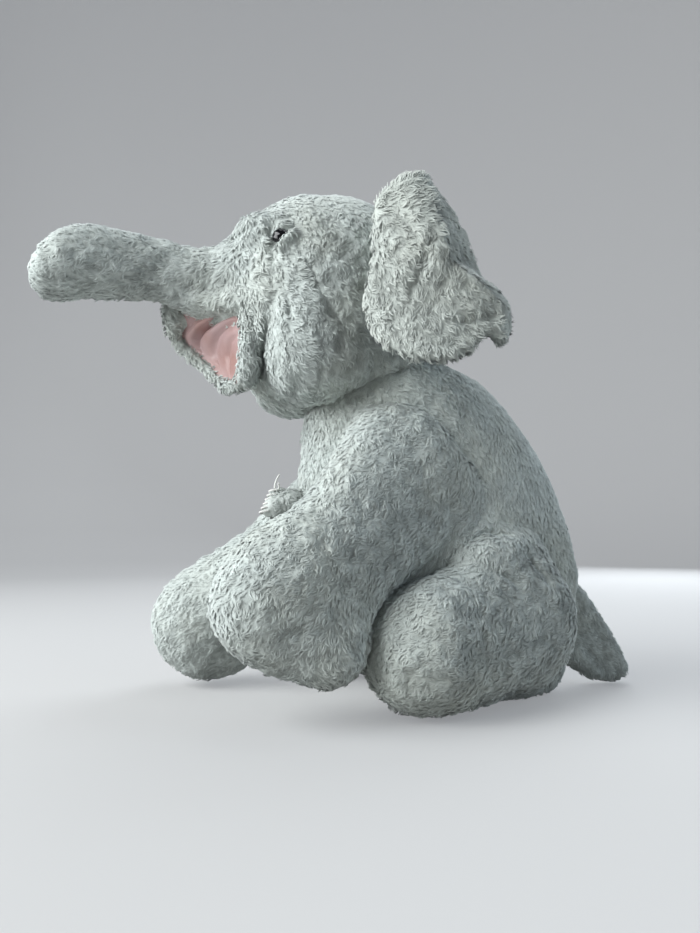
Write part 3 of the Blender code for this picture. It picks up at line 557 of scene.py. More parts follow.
def write_mesh(name, v, faces, mat, attrs=None, normals=None):
    """A mesh object from points in millimetres and lists of equal-sided faces."""
    me = bpy.data.meshes.new(name)
    me.vertices.add(len(v))
    me.vertices.foreach_set("co", (v * MM).astype(np.float32).ravel())
    total = sum(f.size for f in faces)
    count = sum(len(f) for f in faces)
    me.loops.add(total)
    me.loops.foreach_set("vertex_index", np.concatenate([f.ravel() for f in faces]).astype(np.int32))
    me.polygons.add(count)
    sizes = np.concatenate([np.full(len(f), f.shape[1]) for f in faces])
    me.polygons.foreach_set("loop_start", np.concatenate([[0], np.cumsum(sizes)[:-1]]).astype(np.int32))
    me.polygons.foreach_set("use_smooth", np.ones(count, bool))
    me.update(calc_edges=True)
    me.validate()
    for key, val in (attrs or {}).items():
        kind = "FLOAT_VECTOR" if val.ndim == 2 else "FLOAT"
        at = me.attributes.new(key, kind, "POINT")
        at.data.foreach_set("vector" if val.ndim == 2 else "value", val.astype(np.float32).ravel())
    if normals is not None and len(me.vertices) == len(normals):
        me.normals_split_custom_set_from_vertices(normals.tolist())
    ob = bpy.data.objects.new(name, me)
    bpy.context.scene.collection.objects.link(ob)
    me.materials.append(mat)
    return ob


# ------------------------------------------------------------ pile
def scatter(v, n, quads, spacing, seed):
    """Points spread over a quad mesh, about spacing apart."""
    r = np.random.default_rng(seed)
    tri = np.concatenate([quads[:, [0, 1, 2]], quads[:, [0, 2, 3]]])
    a, b, c = v[tri[:, 0]], v[tri[:, 1]], v[tri[:, 2]]
    area = 0.5 * np.linalg.norm(np.cross(b - a, c - a), axis=1)
    cum = np.cumsum(area)
    want = int(cum[-1] / (spacing * spacing) * 2.2)
    pick = np.searchsorted(cum, r.random(want) * cum[-1])
    u, w = r.random(want), r.random(want)
    fl = u + w > 1
    u[fl], w[fl] = 1 - u[fl], 1 - w[fl]
    p = a[pick] + u[:, None] * (b - a)[pick] + w[:, None] * (c - a)[pick]
    # keep one point for each small cell, so that none crowd
    cell = np.floor(p / (spacing * 0.92)).astype(np.int64)
    key = cell[:, 0] * 73856093 ^ cell[:, 1] * 19349663 ^ cell[:, 2] * 83492791
    _, first = np.unique(key, return_index=True)
    first = np.sort(first)
    return p[first]


def relief(p):
    """Tufted unevenness of the pile, in millimetres."""
    return 0.95 * noise(p, 7.4, 91) + 0.5 * noise(p, 3.9, 92)


KEY_DIR = np.array([0.20, -0.88, 0.43])


def painted_crevice_shade(p, nn, calm):
    """0 to 1: painted shade, how much a point lying deep between tufts is darkened, more on the sides away from the key
    light.
    """
    away = 0.3 + 0.7 * sstep(0.55, -0.05, nn @ KEY_DIR)
    return np.clip(0.40 - relief(p) * 0.6, 0, 1) * away * np.clip(1.1 - 1.3 * calm, 0, 1)


def tufted(p, nn, calm):
    """Points and normals after the relief, weaker where the pile is calm."""
    amp = (1.0 - 0.75 * calm)[:, None]
    g = grad(relief, p, 0.5) * amp
    g -= (g * nn).sum(1)[:, None] * nn
    out = nn - g
    return p + nn * relief(p)[:, None] * amp, out / np.linalg.norm(out, axis=1)[:, None]


def locks(f, v, n, quads, flow, length=5.8, height=1.3, width=0.92, spacing=1.76, seed=1, hide=None,
          curl=0.7, trim=None, clump=4.1, gather=0.68, floor=True, steps=2,
          soft=0.36, calm=None):
    """Fine wisps of pile over a skin, gathered in tufts, as tapering prisms left open at the base."""
    r = np.random.default_rng(seed)
    p = scatter(v, n, quads, spacing, seed)
    g = grad(f, p)
    nn = g / np.linalg.norm(g, axis=1)[:, None]
    keep = np.ones(len(p), bool)
    if hide is not None:
        keep &= ~hide(p)
    if floor:
        keep &= ~((p[:, 2] < 1.5) & (nn[:, 2] < -0.6))
    # fewer wisps where the piece faces the ground or the other legs
    under_ = (nn[:, 2] < -0.45) | ((np.abs(p[:, 0]) < 60) & (p[:, 2] < 110) & (p[:, 1] < 60) & (np.abs(nn[:, 0]) > 0.5) & (nn[:, 0] * p[:, 0] < 0))
    keep &= ~under_ | (r.random(len(p)) < 0.6)
    size = np.ones(len(p)) if trim is None else trim(p)
    keep &= size > 0.12
    p, nn, size = p[keep], nn[keep], size[keep]
    m = len(p)
    still = np.full(m, 0.2) if calm is None else calm(p)
    # painted shade between the tufts, carried on each wisp as an attribute
    crevice_shade_amount = painted_crevice_shade(p, nn, still)
    p, nn = tufted(p, nn, still)
    d = flow(p)
    d = d - (d * nn).sum(1)[:, None] * nn
    d /= np.maximum(np.linalg.norm(d, axis=1)[:, None], 1e-6)
    # the tuft each wisp belongs to
    centres = scatter(v, n, quads, clump, seed + 50)
    kd = kdtree.KDTree(len(centres))
    for i, c in enumerate(centres):
        kd.insert(c, i)
    kd.balance()
    own = np.array([kd.find(q)[1] for q in p])
    cc = centres[own]
    cr = r.random((len(centres), 3))[own]
    ang = 0.8 * noise(cc, 12.0, seed + 5) + 0.5 * noise(cc, 34.0, seed + 6) + (cr[:, 0] - 0.5) * 1.3 + r.normal(0, 0.13, m)
    ang = ang * (1.0 - 0.65 * still)
    side = np.cross(nn, d)
    ca, sa = np.cos(ang)[:, None], np.sin(ang)[:, None]
    d, side = d * ca + side * sa, side * ca - d * sa
    L = length * (0.8 + 0.25 * cr[:, 1] + 0.25 * r.random(m)) * (0.45 + 0.55 * size)
    H = height * (0.68 + 0.5 * cr[:, 2] + 0.25 * r.random(m)) * size * (1.0 - 0.4 * still)
    W = width * (0.75 + 0.5 * r.random(m)) * (0.6 + 0.4 * size)
    goal = cc + d * (L * 0.85)[:, None]
    goal -= ((goal - p) * nn).sum(1)[:, None] * nn
    bend = (goal - (p + d * L[:, None])) * gather
    phase = cr[:, 1] * 6.283 + r.normal(0, 0.5, m)
    if steps == 2:
        T, prof, rise = [0.0, 0.5, 1.0], [0.9, 1.0], [-0.35, 0.9, 0.72]
    else:
        T, prof, rise = [0.0, 0.36, 0.72, 1.0], [0.85, 1.0, 0.75], [-0.3, 0.8, 1.05, 0.6]
    line = []
    for k, t in enumerate(T):
        wave = curl * (math.sin(t * 4.4) * np.cos(phase) + 0.8 * t * np.sin(t * 5.5 + phase))
        line.append(p + d * (L * t)[:, None] + nn * (H * rise[k])[:, None] + bend * t ** 1.4 + side * wave[:, None])
    rings = []
    for k in range(steps):
        tang = line[k + 1] - line[max(k - 1, 0)]
        tang /= np.maximum(np.linalg.norm(tang, axis=1)[:, None], 1e-6)
        up = nn - (nn * tang).sum(1)[:, None] * tang
        up /= np.maximum(np.linalg.norm(up, axis=1)[:, None], 1e-6)
        sd = np.cross(tang, up)
        w = (W * prof[k])[:, None]
        rings += [line[k] - sd * w * 0.5 - up * w * 0.18, line[k] + up * w * 0.36, line[k] + sd * w * 0.5 - up * w * 0.18]
    per = 3 * steps + 1
    V = np.stack(rings + [line[-1]], 1)
    # the pile is shaded softly, half by the surface it stands on
    mids = np.stack([line[k] for k in range(steps) for _ in range(3)] + [line[-1] - nn], 1)
    out = V - mids
    out /= np.maximum(np.linalg.norm(out, axis=2)[..., None], 1e-6)
    VN = nn[:, None, :] + soft * out
    VN /= np.maximum(np.linalg.norm(VN, axis=2)[..., None], 1e-6)
    if floor:
        V[..., 2] = np.maximum(V[..., 2], 0.25 + 0.3 * r.random((m, 1)))
    base = (np.arange(m) * per)[:, None]
    ql, tl = [], []
    for k in range(steps - 1):
        for j in range(3):
            j2 = (j + 1) % 3
            ql.append(base + np.array([[3 * k + j, 3 * k + j2, 3 * k + 3 + j2, 3 * k + 3 + j]]))
    e = 3 * (steps - 1)
    for j in range(3):
        tl.append(base + np.array([[e + j, e + (j + 1) % 3, e + 3]]))
    tt = np.tile(np.repeat(np.array(T), [3] * steps + [1]), m)
    rand = np.repeat(0.6 * cr[:, 0] + 0.4 * r.random(m), per)
    across = np.tile(np.array([-1, 0, 1] * steps + [0.0]), m)
    fib = np.stack([across * 0.8 + rand * 300, tt * 2.2, rand * 70], 1)
    return V.reshape(-1, 3), np.concatenate(ql), np.concatenate(tl), tt, rand, fib, m, VN.reshape(-1, 3), np.repeat(crevice_shade_amount, per)


def plush(name, f, lo, hi, h, flow, mat, piles, **kw):
    """A plush piece: skin of the field, roughened, with its pile on it."""
    v, q = surface_net(f, lo, hi, h)
    v, n = settle(f, v)
    still = np.full(len(v), 0.2) if kw.get("calm") is None else kw["calm"](v)
    vs, n2 = tufted(v, n, still)
    vs[:, 2] = np.maximum(vs[:, 2], 0.0)
    sets = []
    for i, opt in enumerate(piles):
        o = dict(kw)
        o.update(opt)
        sets.append(locks(f, v, n, q, flow, **o))
    V, Q, T3, at, ar, af = [vs], [q], [], [np.full(len(vs), 0.5)], [np.full(len(vs), 0.5)], [vs * np.array([1.2, 1.2, 0.5])]
    off = len(vs)
    NR = [n2]
    # painted shade between the tufts on the bare skin too
    ad = [painted_crevice_shade(v, n, still)]
    for lv, lq, lt, tt, rr, fb, _, vn, dp in sets:
        ad.append(dp)
        NR.append(vn)
        V.append(lv)
        Q.append(lq + off)
        T3.append(lt + off)
        at.append(tt)
        ar.append(rr)
        af.append(fb)
        off += len(lv)
    faces = [np.concatenate(Q)]
    if T3:
        faces.append(np.concatenate(T3))
    ob = write_mesh(name, np.concatenate(V), faces, mat,
                    {"pile": np.concatenate(at), "lock": np.concatenate(ar), "fibre": np.concatenate(af), "crevice_shade_amount": np.concatenate(ad)}, np.concatenate(NR))
    print("plush", name, "triangles", 2 * len(faces[0]) + sum(len(x) for x in faces[1:]), "wisps", sum(x[6] for x in sets))
    return ob


# ------------------------------------------------------------ materials
def new_mat(name):
    m = bpy.data.materials.new(name)
    m.use_nodes = True
    nt = m.node_tree
    return m, nt, nt.nodes["Principled BSDF"]


# root darkens the base of each wisp, as painted shade deep in the pile
def plush_mat(name, light, dark, root=0.84, warm=(0.06, 0.05, 0.0), sheen=0.2):
    m, nt, bs = new_mat(name)
    N, Lk = nt.nodes, nt.links

    def node(t, **k):
        x = N.new(t)
        for a, b in k.items():
            setattr(x, a, b)
        return x
    tex = node("ShaderNodeTexCoord")
    pile = node("ShaderNodeAttribute", attribute_name="pile")
    lock = node("ShaderNodeAttribute", attribute_name="lock")
    fib = node("ShaderNodeAttribute", attribute_name="fibre")
    # large soft patches of lighter and yellower pile
    big = node("ShaderNodeTexNoise")
    big.inputs["Scale"].default_value = 14.0
    big.inputs["Detail"].default_value = 3.0
    Lk.new(tex.outputs["Object"], big.inputs["Vector"])
    mid = node("ShaderNodeTexNoise")
    mid.inputs["Scale"].default_value = 95.0
    mid.inputs["Detail"].default_value = 2.0
    Lk.new(tex.outputs["Object"], mid.inputs["Vector"])
    fine = node("ShaderNodeTexNoise")
    fine.inputs["Scale"].default_value = 2.2
    fine.inputs["Detail"].default_value = 3.0
    Lk.new(fib.outputs["Vector"], fine.inputs["Vector"])
    # painted shade: each wisp is coloured darker at its root, deep in the pile, darker still by the root factor, and
    # lighter at its tip; the bare skin between wisps takes the darker colour
    ramp = node("ShaderNodeValToRGB")
    ramp.color_ramp.elements[0].color = (*[c * root for c in dark], 1)
    ramp.color_ramp.elements[1].color = (*light, 1)
    e = ramp.color_ramp.elements.new(0.45)
    e.color = (*dark, 1)
    Lk.new(pile.outputs["Fac"], ramp.inputs["Fac"])

    def mix(a, b, fac, mode="MIX"):
        x = node("ShaderNodeMix", data_type="RGBA", blend_type=mode)
        for sock, val in ((x.inputs[0], fac), (x.inputs[6], a), (x.inputs[7], b)):
            if isinstance(val, (tuple, float, int)):
                sock.default_value = val
            else:
                Lk.new(val, sock)
        return x.outputs[2]

    def maprange(src, a, b, c, d):
        x = node("ShaderNodeMapRange")
        x.inputs[1].default_value, x.inputs[2].default_value = a, b
        x.inputs[3].default_value, x.inputs[4].default_value = c, d
        Lk.new(src, x.inputs[0])
        return x.outputs[0]

    def grey(src):
        x = node("ShaderNodeCombineColor")
        for i in range(3):
            Lk.new(src, x.inputs[i])
        return x.outputs[0]
    crevice_shade_amount = node("ShaderNodeAttribute", attribute_name="crevice_shade_amount")
    col = ramp.outputs["Color"]
    # painted shade: the pile darkens deep between tufts, more on the sides away from the key light
    col = mix(col, grey(maprange(crevice_shade_amount.outputs["Fac"], 0.0, 0.85, 1.07, 0.62)), 1.0, "MULTIPLY")
    col = mix(col, grey(maprange(lock.outputs["Fac"], 0, 1, 0.90, 1.08)), 1.0, "MULTIPLY")
    col = mix(col, grey(maprange(fine.outputs["Fac"], 0.25, 0.75, 0.88, 1.10)), 1.0, "MULTIPLY")
    col = mix(col, grey(maprange(mid.outputs["Fac"], 0.3, 0.7, 0.88, 1.09)), 1.0, "MULTIPLY")
    yel = (min(light[0] + warm[0], 1), min(light[1] + warm[1] * 0.6, 1), max(light[2] - 0.04, 0), 1)
    col = mix(col, yel, maprange(big.outputs["Fac"], 0.45, 0.75, 0.0, 0.35))
    Lk.new(col, bs.inputs["Base Color"])
    bs.inputs["Roughness"].default_value = 0.86
    bs.inputs["Specular IOR Level"].default_value = 0.22
    bs.inputs["Sheen Weight"].default_value = sheen
    bs.inputs["Sheen Roughness"].default_value = 0.45
    bs.inputs["Sheen Tint"].default_value = (0.95, 0.97, 1.0, 1)
    bump = node("ShaderNodeBump")
    bump.inputs["Strength"].default_value = 0.3
    bump.inputs["Distance"].default_value = 0.0006
    Lk.new(fine.outputs["Fac"], bump.inputs["Height"])
    Lk.new(bump.outputs["Normal"], bs.inputs["Normal"])
    return m


# tip and root colours of the pile; the darker root colour is painted shade deep in the pile
GREY_L, GREY_D = (0.62, 0.67, 0.645), (0.52, 0.565, 0.54)
fur = plush_mat("plush_curly", GREY_L, GREY_D)
fur_ear = plush_mat("plush_ear_curly", (0.60, 0.635, 0.595), (0.50, 0.535, 0.50))
fur_soft = plush_mat("plush_short", (0.62, 0.66, 0.635), (0.52, 0.555, 0.53))


def satin_mat():
    m, nt, bs = new_mat("satin_pink_weave")
    N, Lk = nt.nodes, nt.links
    tex = N.new("ShaderNodeTexCoord")
    n1 = N.new("ShaderNodeTexNoise")
    n1.inputs["Scale"].default_value = 30.0
    n1.inputs["Detail"].default_value = 3.0
    Lk.new(tex.outputs["Object"], n1.inputs["Vector"])
    ramp = N.new("ShaderNodeValToRGB")
    ramp.color_ramp.elements[0].position = 0.3
    ramp.color_ramp.elements[1].position = 0.72
    ramp.color_ramp.elements[0].color = (0.37, 0.21, 0.185, 1)
    ramp.color_ramp.elements[1].color = (0.46, 0.325, 0.325, 1)
    Lk.new(n1.outputs["Fac"], ramp.inputs["Fac"])
    Lk.new(ramp.outputs["Color"], bs.inputs["Base Color"])
    bs.inputs["Roughness"].default_value = 0.42
    bs.inputs["Sheen Weight"].default_value = 0.25
    bs.inputs["Sheen Roughness"].default_value = 0.4
    bs.inputs["Sheen Tint"].default_value = (1.0, 0.86, 0.9, 1)
    wv = N.new("ShaderNodeTexWave")
    wv.inputs["Scale"].default_value = 900.0
    wv.inputs["Distortion"].default_value = 1.0
    Lk.new(tex.outputs["Object"], wv.inputs["Vector"])
    bump = N.new("ShaderNodeBump")
    bump.inputs["Strength"].default_value = 0.12
    bump.inputs["Distance"].default_value = 0.0002
    Lk.new(wv.outputs["Fac"], bump.inputs["Height"])
    Lk.new(bump.outputs["Normal"], bs.inputs["Normal"])
    return m


satin = satin_mat()


# ------------------------------------------------------------ build the plush
def vec_flow(*d):
    a = np.array(d, float)
    return lambda p: np.tile(a, (len(p), 1))


def torso_flow(p):
    d = np.tile(np.array([0.0, 0.25, -1.0]), (len(p), 1))
    d[:, 0] = 0.004 * p[:, 0]
    return d


def leg_flow(t, side, field):
    def f(p):
        w = sstep(-6.0, 20.0, field(p))[:, None]
        return (1 - w) * np.array([0.25 * side, t[0], t[1]]) + w * torso_flow(p)
    return f


def head_flow(p):
    y, z = p[:, 1], p[:, 2]
    d = np.zeros_like(p)
    trunk = sstep(-150, -190, y)
    d[:, 1] = 0.45 * (1 - trunk) - 1.0 * trunk
    d[:, 2] = -0.9 * (1 - trunk) - 0.25 * trunk
    return d


def ear_flow(p):
    # curls stream out from the ear's root, and hang
    y, z = p[:, 1] + 84.0, p[:, 2] - 345.0
    r = np.hypot(y, z) + 14.0
    return np.stack([0 * y, y / r, z / r - 0.35], 1)


def inside_others(others, depth):
    def hide(p):
        out = np.zeros(len(p), bool)
        for f in others:
            out |= f(p) < -depth
        return out
    return hide


H = 2.6
fore_sk = {s: foreleg_skin(s) for s in (1, -1)}
hind_sk = {s: hindleg_skin(s) for s in (1, -1)}
ear_sk = {s: ear_skin(s) for s in (1, -1)}
LAB = {1: "left", -1: "right"}

body_piles = [dict(seed=101)]
body_calm = lambda p: 0.2 + 0.7 * sstep(-30, 40, p[:, 1]) * sstep(90, 170, p[:, 2])
ob = plush("torso_plush", torso_skin, (-82, -122, -6), (82, 126, 286), H, torso_flow, fur, body_piles,
           hide=inside_others([fore_sk[1], fore_sk[-1], hind_sk[1], hind_sk[-1], head_f], 4.0),
           calm=body_calm)
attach(ob, "torso")
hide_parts("torso_side_left", "torso_side_right", "belly_panel", "torso_stuffing")

for s in (1, -1):
    (sy, sz), (fy, fz) = SH[s]
    lo = (min(s * 12, s * 136), min(sy, fy) - 62, 0 - 4)
    hi = (max(s * 12, s * 136), 62, 240)
    name = "foreleg_" + LAB[s]
    ob = plush(name + "_plush", fore_sk[s], lo, hi, H, leg_flow(fore_t[s], s, fore_f[s]), fur, [dict(seed=201 + s)],
               hide=inside_others([torso_f, lambda p, s=s: hind_f[s](p) + 3.0], 5.0), calm=body_calm)
    t = fore_t[s]
    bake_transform(ob)
    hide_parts(name + "_outer", name + "_inner", name + "_stuffing")
    (sy, sz), (fy, fz) = HP[s]
    name = "hindleg_" + LAB[s]
    lo = (min(s * 18, s * 136), fy - 60, -4)
    hi = (max(s * 18, s * 136), sy + 92, 150)
    ob = plush(name + "_plush", hind_sk[s], lo, hi, H, leg_flow(hind_t[s], s, hind_f[s]), fur, [dict(seed=301 + s)],
               hide=inside_others([torso_f, lambda p, s=s: fore_f[s](p) + 3.0], 5.0), calm=body_calm)
    t = hind_t[s]
    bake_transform(ob)
    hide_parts(name + "_outer", name + "_inner", name + "_stuffing")
    name = "ear_" + LAB[s]
    lo = (min(s * 66, s * 138), -84, 226)
    hi = (max(s * 66, s * 138), 40, 402)
    ob = plush(name + "_plush", ear_sk[s], lo, hi, 2.6, ear_flow, fur_ear,
               [dict(seed=401 + s)], length=6.6, width=0.86, height=1.35, curl=0.9, clump=4.4, gather=0.6, spacing=1.68, soft=0.36,
               trim=lambda p: 1.0 - 0.4 * sstep(2, 16, p[:, 1]))
    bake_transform(ob)
    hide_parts(name + "_front", name + "_back")


def near_eye(p):
    t = np.ones(len(p))
    for s in (1, -1):
        c, n, al, ac = EYES[s]
        q = p - c
        d = np.sqrt((q @ al / 1.6) ** 2 + (q @ ac) ** 2 + (q @ n * 0.4) ** 2)
        t = np.minimum(t, sstep(2.6, 6.5, d))
    return t * (0.35 + 0.65 * sstep(0.6, 3.0, seam_dist(p)))


def cut(f, axis_lo, axis_hi):
    """The part of a field between two values of y, closed inside."""
    def g(p):
        return np.maximum(f(p), np.maximum(axis_lo - p[:, 1], p[:, 1] - axis_hi))
    return g


def mouth_zone(p):
    """Inside the lip or behind the lining, where no pile shows."""
    return (jaw_block(p) < -2.0) | ((p[:, 2] < 284 + 0.1 * (-p[:, 1] - 166)) & (p[:, 1] < -158) & (np.abs(p[:, 0]) < 30) & (p[:, 1] > -206))


hide_head = lambda p: (torso_f(p) < -9) | mouth_zone(p)
open_end = lambda lo, hi: (lambda p: (p[:, 1] < lo) | (p[:, 1] > hi))
ob = plush("head_plush", cut(head_all, -192.0, 40.0), (-88, -196, 212), (88, 20, 412), H, head_flow, fur, [dict(seed=501)],
           hide=lambda p: hide_head(p) | (p[:, 1] < -191.5), trim=near_eye, floor=False,
           calm=lambda p: 0.1 + 0.8 * sstep(335, 375, p[:, 2]) * sstep(-160, -135, p[:, 1]))
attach(ob, "head")
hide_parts("head_side_left", "head_side_right", "head_gusset", "trunk_root_left", "trunk_root_right",
            "head_stuffing", "neck_band")
ob = plush("trunk_mid_plush", cut(head_all, -236.0, -188.0), (-40, -240, 284), (40, -184, 366), 2.4, head_flow, fur,
           [dict(seed=511)], hide=lambda p: mouth_zone(p) | (p[:, 1] < -235.6) | (p[:, 1] > -188.5), floor=False)
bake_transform(ob)
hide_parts("trunk_mid_left", "trunk_mid_right", "trunk_mid_under", "trunk_mid_stuffing")
ob = plush("trunk_tip_plush", cut(head_all, -330.0, -232.0), (-40, -322, 288), (40, -228, 368), 2.4, head_flow, fur,
           [dict(seed=521)], hide=lambda p: p[:, 1] > -232.5, floor=False)
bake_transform(ob)
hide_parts("trunk_tip_left", "trunk_tip_right", "trunk_tip_under", "trunk_tip_stuffing")

ob = plush("tail_plush", tail_skin, (-14, 100, -2), (14, 188, 102), 2.4, vec_flow(0, 0.55, -0.8), fur, [dict(seed=601)],
           hide=lambda p: p[:, 1] < 112)
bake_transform(ob)
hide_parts("tail_left", "tail_right")

ob = plush("jaw_plush", jaw_skin, (-48, -226, 222), (50, -138, 318), 2.0, vec_flow(0.1, 0.5, -1.0), fur, [dict(seed=701)],
           hide=lambda p: ((jaw_face(p) > -2.5) & (lips(p) > 0.8)) | (head_all(p) < -3.0),
           length=5.0, height=2.3, spacing=1.75, gather=0.55, floor=False)
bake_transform(ob)
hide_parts("jaw_casing", "jaw_stuffing")


# ------------------------------------------------------------ closing seam
def nub_skin(p):
    f = smin(ball(p, (0, -118, 149), (11.5, 21, 11.5)), tube(p, [(0, -137, 143), (0, -130, 157)], 3.2), 4.0)
    return f + lumps(p, 0.5, 12.0, 61)


ob = plush("closing_nub_plush", nub_skin, (-18, -146, 130), (18, -92, 170), 1.8, vec_flow(0, -0.3, -1.0), fur_soft, [dict(seed=801)],
           hide=lambda p: (torso_skin(p) < -2) | (p[:, 1] < -133), length=4.4, height=1.9, floor=False)
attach(ob, "torso")
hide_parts("closing_seam_nub")


def cord(paths, r, sides=6):
    V, Q, T3 = [], [], []
    off = 0
    for pts in paths:
        pts = np.array(pts, float)
        k = np.linspace(0, 1, len(pts))
        fine = np.linspace(0, 1, 4 * (len(pts) - 1) + 1)
        pts = np.stack([pchip(k, pts[:, i], fine) for i in range(3)], 1)
        tang = np.gradient(pts, axis=0)
        tang /= np.linalg.norm(tang, axis=1)[:, None]
        ref = np.array([0.3, 0.9, 0.25])
        a = np.cross(tang, ref)
        a /= np.linalg.norm(a, axis=1)[:, None]
        b = np.cross(tang, a)
        m = len(pts)
        w = r * np.ones(m)
        w[0] = w[-1] = r * 0.55
        for i in range(m):
            for j in range(sides):
                q = 2 * math.pi * j / sides
                V.append(pts[i] + w[i] * (math.cos(q) * a[i] + math.sin(q) * b[i]))
        for i in range(m - 1):
            for j in range(sides):
                j2 = (j + 1) % sides
                Q.append((off + i * sides + j, off + i * sides + j2, off + (i + 1) * sides + j2, off + (i + 1) * sides + j))
        for j in range(1, sides - 1):
            T3.append((off, off + j + 1, off + j))
            e = off + (m - 1) * sides
            T3.append((e, e + j, e + j + 1))
        off += m * sides
    return np.array(V), np.array(Q), np.array(T3)


loops = []
for k in range(6):
    t = k / 5.0
    y, z = -140.6 + 7.4 * t, 141.5 + 16.5 * t
    loops.append([(-5.5, y + 5.0, z + 0.5), (-4.2, y + 0.6, z + 0.6), (0, y - 1.6, z + 1.2), (4.2, y + 0.4, z + 2.0), (5.5, y + 5.0, z + 2.4)])
loops.append([(1, -131, 158), (2.5, -131, 163), (1.5, -129.5, 168), (3.5, -127.5, 172.5)])
loops.append([(2, -130, 158), (5.0, -128, 162), (6.5, -129, 165.5)])
v_, q_, t_ = cord(loops, 0.8)


# ------------------------------------------------------------ mouth lining
def lining():
    nu, nv = ((80, 80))
    U, Vv = np.meshgrid(np.linspace(0, 1, nu), np.linspace(0, 1, nv), indexing="ij")
    u, v = U.ravel(), Vv.ravel()
    near = np.array([(33, -162.5, 292), (33, -162.5, 280), (34, -163, 268), (33, -162, 252), (24, -163.5, 238)], float)
    far = np.array([(-16, -205, 306), (-21, -206, 296), (-23.5, -204.5, 287), (-24.5, -199, 278), (-21, -190, 269), (-11, -181.5, 258.5), (8, -171, 240)], float)

    def along(pts, t):
        k = np.linspace(0, 1, len(pts))
        return np.stack([pchip(k, pts[:, i], t) for i in range(3)], 1)
    p = along(near, v) * (1 - u)[:, None] + along(far, v) * u[:, None]
    hollow = np.sin(np.pi * u) * np.sin(np.pi * np.clip(v, 0, 1)) ** 0.7
    p += hollow[:, None] * np.array([-3.0, 4.5, 1.0])
    # folds: a deep one curling down from the near corner, softer ones beside it
    deep = np.zeros(len(u))

    def fold(pts, depth, width, side_lift=0.0):
        pts = np.array(pts, float)
        best = np.full(len(u), 1e9)
        sgn = np.zeros(len(u))
        run = np.zeros(len(u))
        for i in range(len(pts) - 1):
            a, b = pts[i], pts[i + 1]
            e = b - a
            t = np.clip(((u - a[0]) * e[0] + (v - a[1]) * e[1]) / (e @ e), 0, 1)
            dx, dy = u - a[0] - t * e[0], v - a[1] - t * e[1]
            dd = np.hypot(dx, dy)
            m = dd < best
            best = np.where(m, dd, best)
            sgn = np.where(m, np.sign(dx * e[1] - dy * e[0]), sgn)
            run = np.where(m, (i + t) / (len(pts) - 1), run)
        fade = np.sin(np.clip(run, 0.04, 0.97) * math.pi) ** 0.5
        return fade * (-depth * np.exp(-(best / width) ** 2) + side_lift * np.exp(-((best - 1.6 * width) / (1.5 * width)) ** 2) * (0.7 + 0.5 * sgn))
    deep += fold([(0.02, 0.04), (0.22, 0.10), (0.45, 0.20), (0.66, 0.32), (0.80, 0.45), (0.88, 0.60)], 5.4, 0.04, 3.0)
    deep += fold([(0.02, 0.20), (0.25, 0.28), (0.45, 0.42), (0.62, 0.60), (0.70, 0.76)], 2.1, 0.05, 1.3)
    deep += fold([(0.02, 0.38), (0.2, 0.50), (0.38, 0.70), (0.45, 0.85)], 1.5, 0.05, 0.9)
    deep += fold([(0.55, 0.02), (0.72, 0.14), (0.9, 0.30)], 1.2, 0.06, 0.7)
    nrm = np.array([0.62, -0.76, -0.2])
    p += nrm * deep[:, None]
    idx = np.arange(nu * nv).reshape(nu, nv)
    q = np.stack([idx[:-1, :-1].ravel(), idx[:-1, 1:].ravel(), idx[1:, 1:].ravel(), idx[1:, :-1].ravel()], 1)
    ob = write_mesh("mouth_lining", p, [q], satin)
    sol = ob.modifiers.new("cloth", "SOLIDIFY")
    sol.thickness = 0.0012
    sol.offset = 0
    bpy.context.view_layer.objects.active = ob
    bpy.ops.object.modifier_apply(modifier=sol.name)
    return ob


ob = lining()
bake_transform(ob)
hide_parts("jaw_lining", "palate_lining")

# ------------------------------------------------------------ carried-over CAD
eye_m, nt, bs = new_mat("eye_glossy_black")
bs.inputs["Base Color"].default_value = (0.004, 0.004, 0.005, 1)
bs.inputs["Roughness"].default_value = 0.05
bs.inputs["Coat Weight"].default_value = 0.2
bs.inputs["Coat Roughness"].default_value = 0.02
bs.inputs["Specular IOR Level"].default_value = 0.35
tn = nt.nodes.new("ShaderNodeTexNoise")
tn.inputs["Scale"].default_value = 300.0
mr = nt.nodes.new("ShaderNodeMapRange")
mr.inputs[3].default_value, mr.inputs[4].default_value = 0.04, 0.10
nt.links.new(tn.outputs["Fac"], mr.inputs[0])
nt.links.new(mr.outputs[0], bs.inputs["Roughness"])
thread_m, nt, bs = new_mat("thread_cotton")
tn = nt.nodes.new("ShaderNodeTexNoise")
tn.inputs["Scale"].default_value = 900.0
rp = nt.nodes.new("ShaderNodeValToRGB")
rp.color_ramp.elements[0].color = (0.55, 0.55, 0.52, 1)
rp.color_ramp.elements[1].color = (0.88, 0.88, 0.85, 1)
nt.links.new(tn.outputs["Fac"], rp.inputs["Fac"])
nt.links.new(rp.outputs["Color"], bs.inputs["Base Color"])
bs.inputs["Roughness"].default_value = 0.8
plast_m, nt, bs = new_mat("washer_moulded")
tn = nt.nodes.new("ShaderNodeTexNoise")
tn.inputs["Scale"].default_value = 200.0
rp = nt.nodes.new("ShaderNodeValToRGB")
rp.color_ramp.elements[0].color = (0.5, 0.5, 0.48, 1)
rp.color_ramp.elements[1].color = (0.6, 0.6, 0.57, 1)
nt.links.new(tn.outputs["Fac"], rp.inputs["Fac"])
nt.links.new(rp.outputs["Color"], bs.inputs["Base Color"])
bs.inputs["Roughness"].default_value = 0.5
ob = write_mesh("closing_thread_loops", v_, [q_, t_], thread_m)
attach(ob, "torso")
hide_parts("closing_thread")
MATS = {"eye_left": eye_m, "eye_right": eye_m,
        "eye_washer_left": plast_m, "eye_washer_right": plast_m}
for key, m in MATS.items():
    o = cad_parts[key]
    for sl in o.material_slots:
        sl.material = m


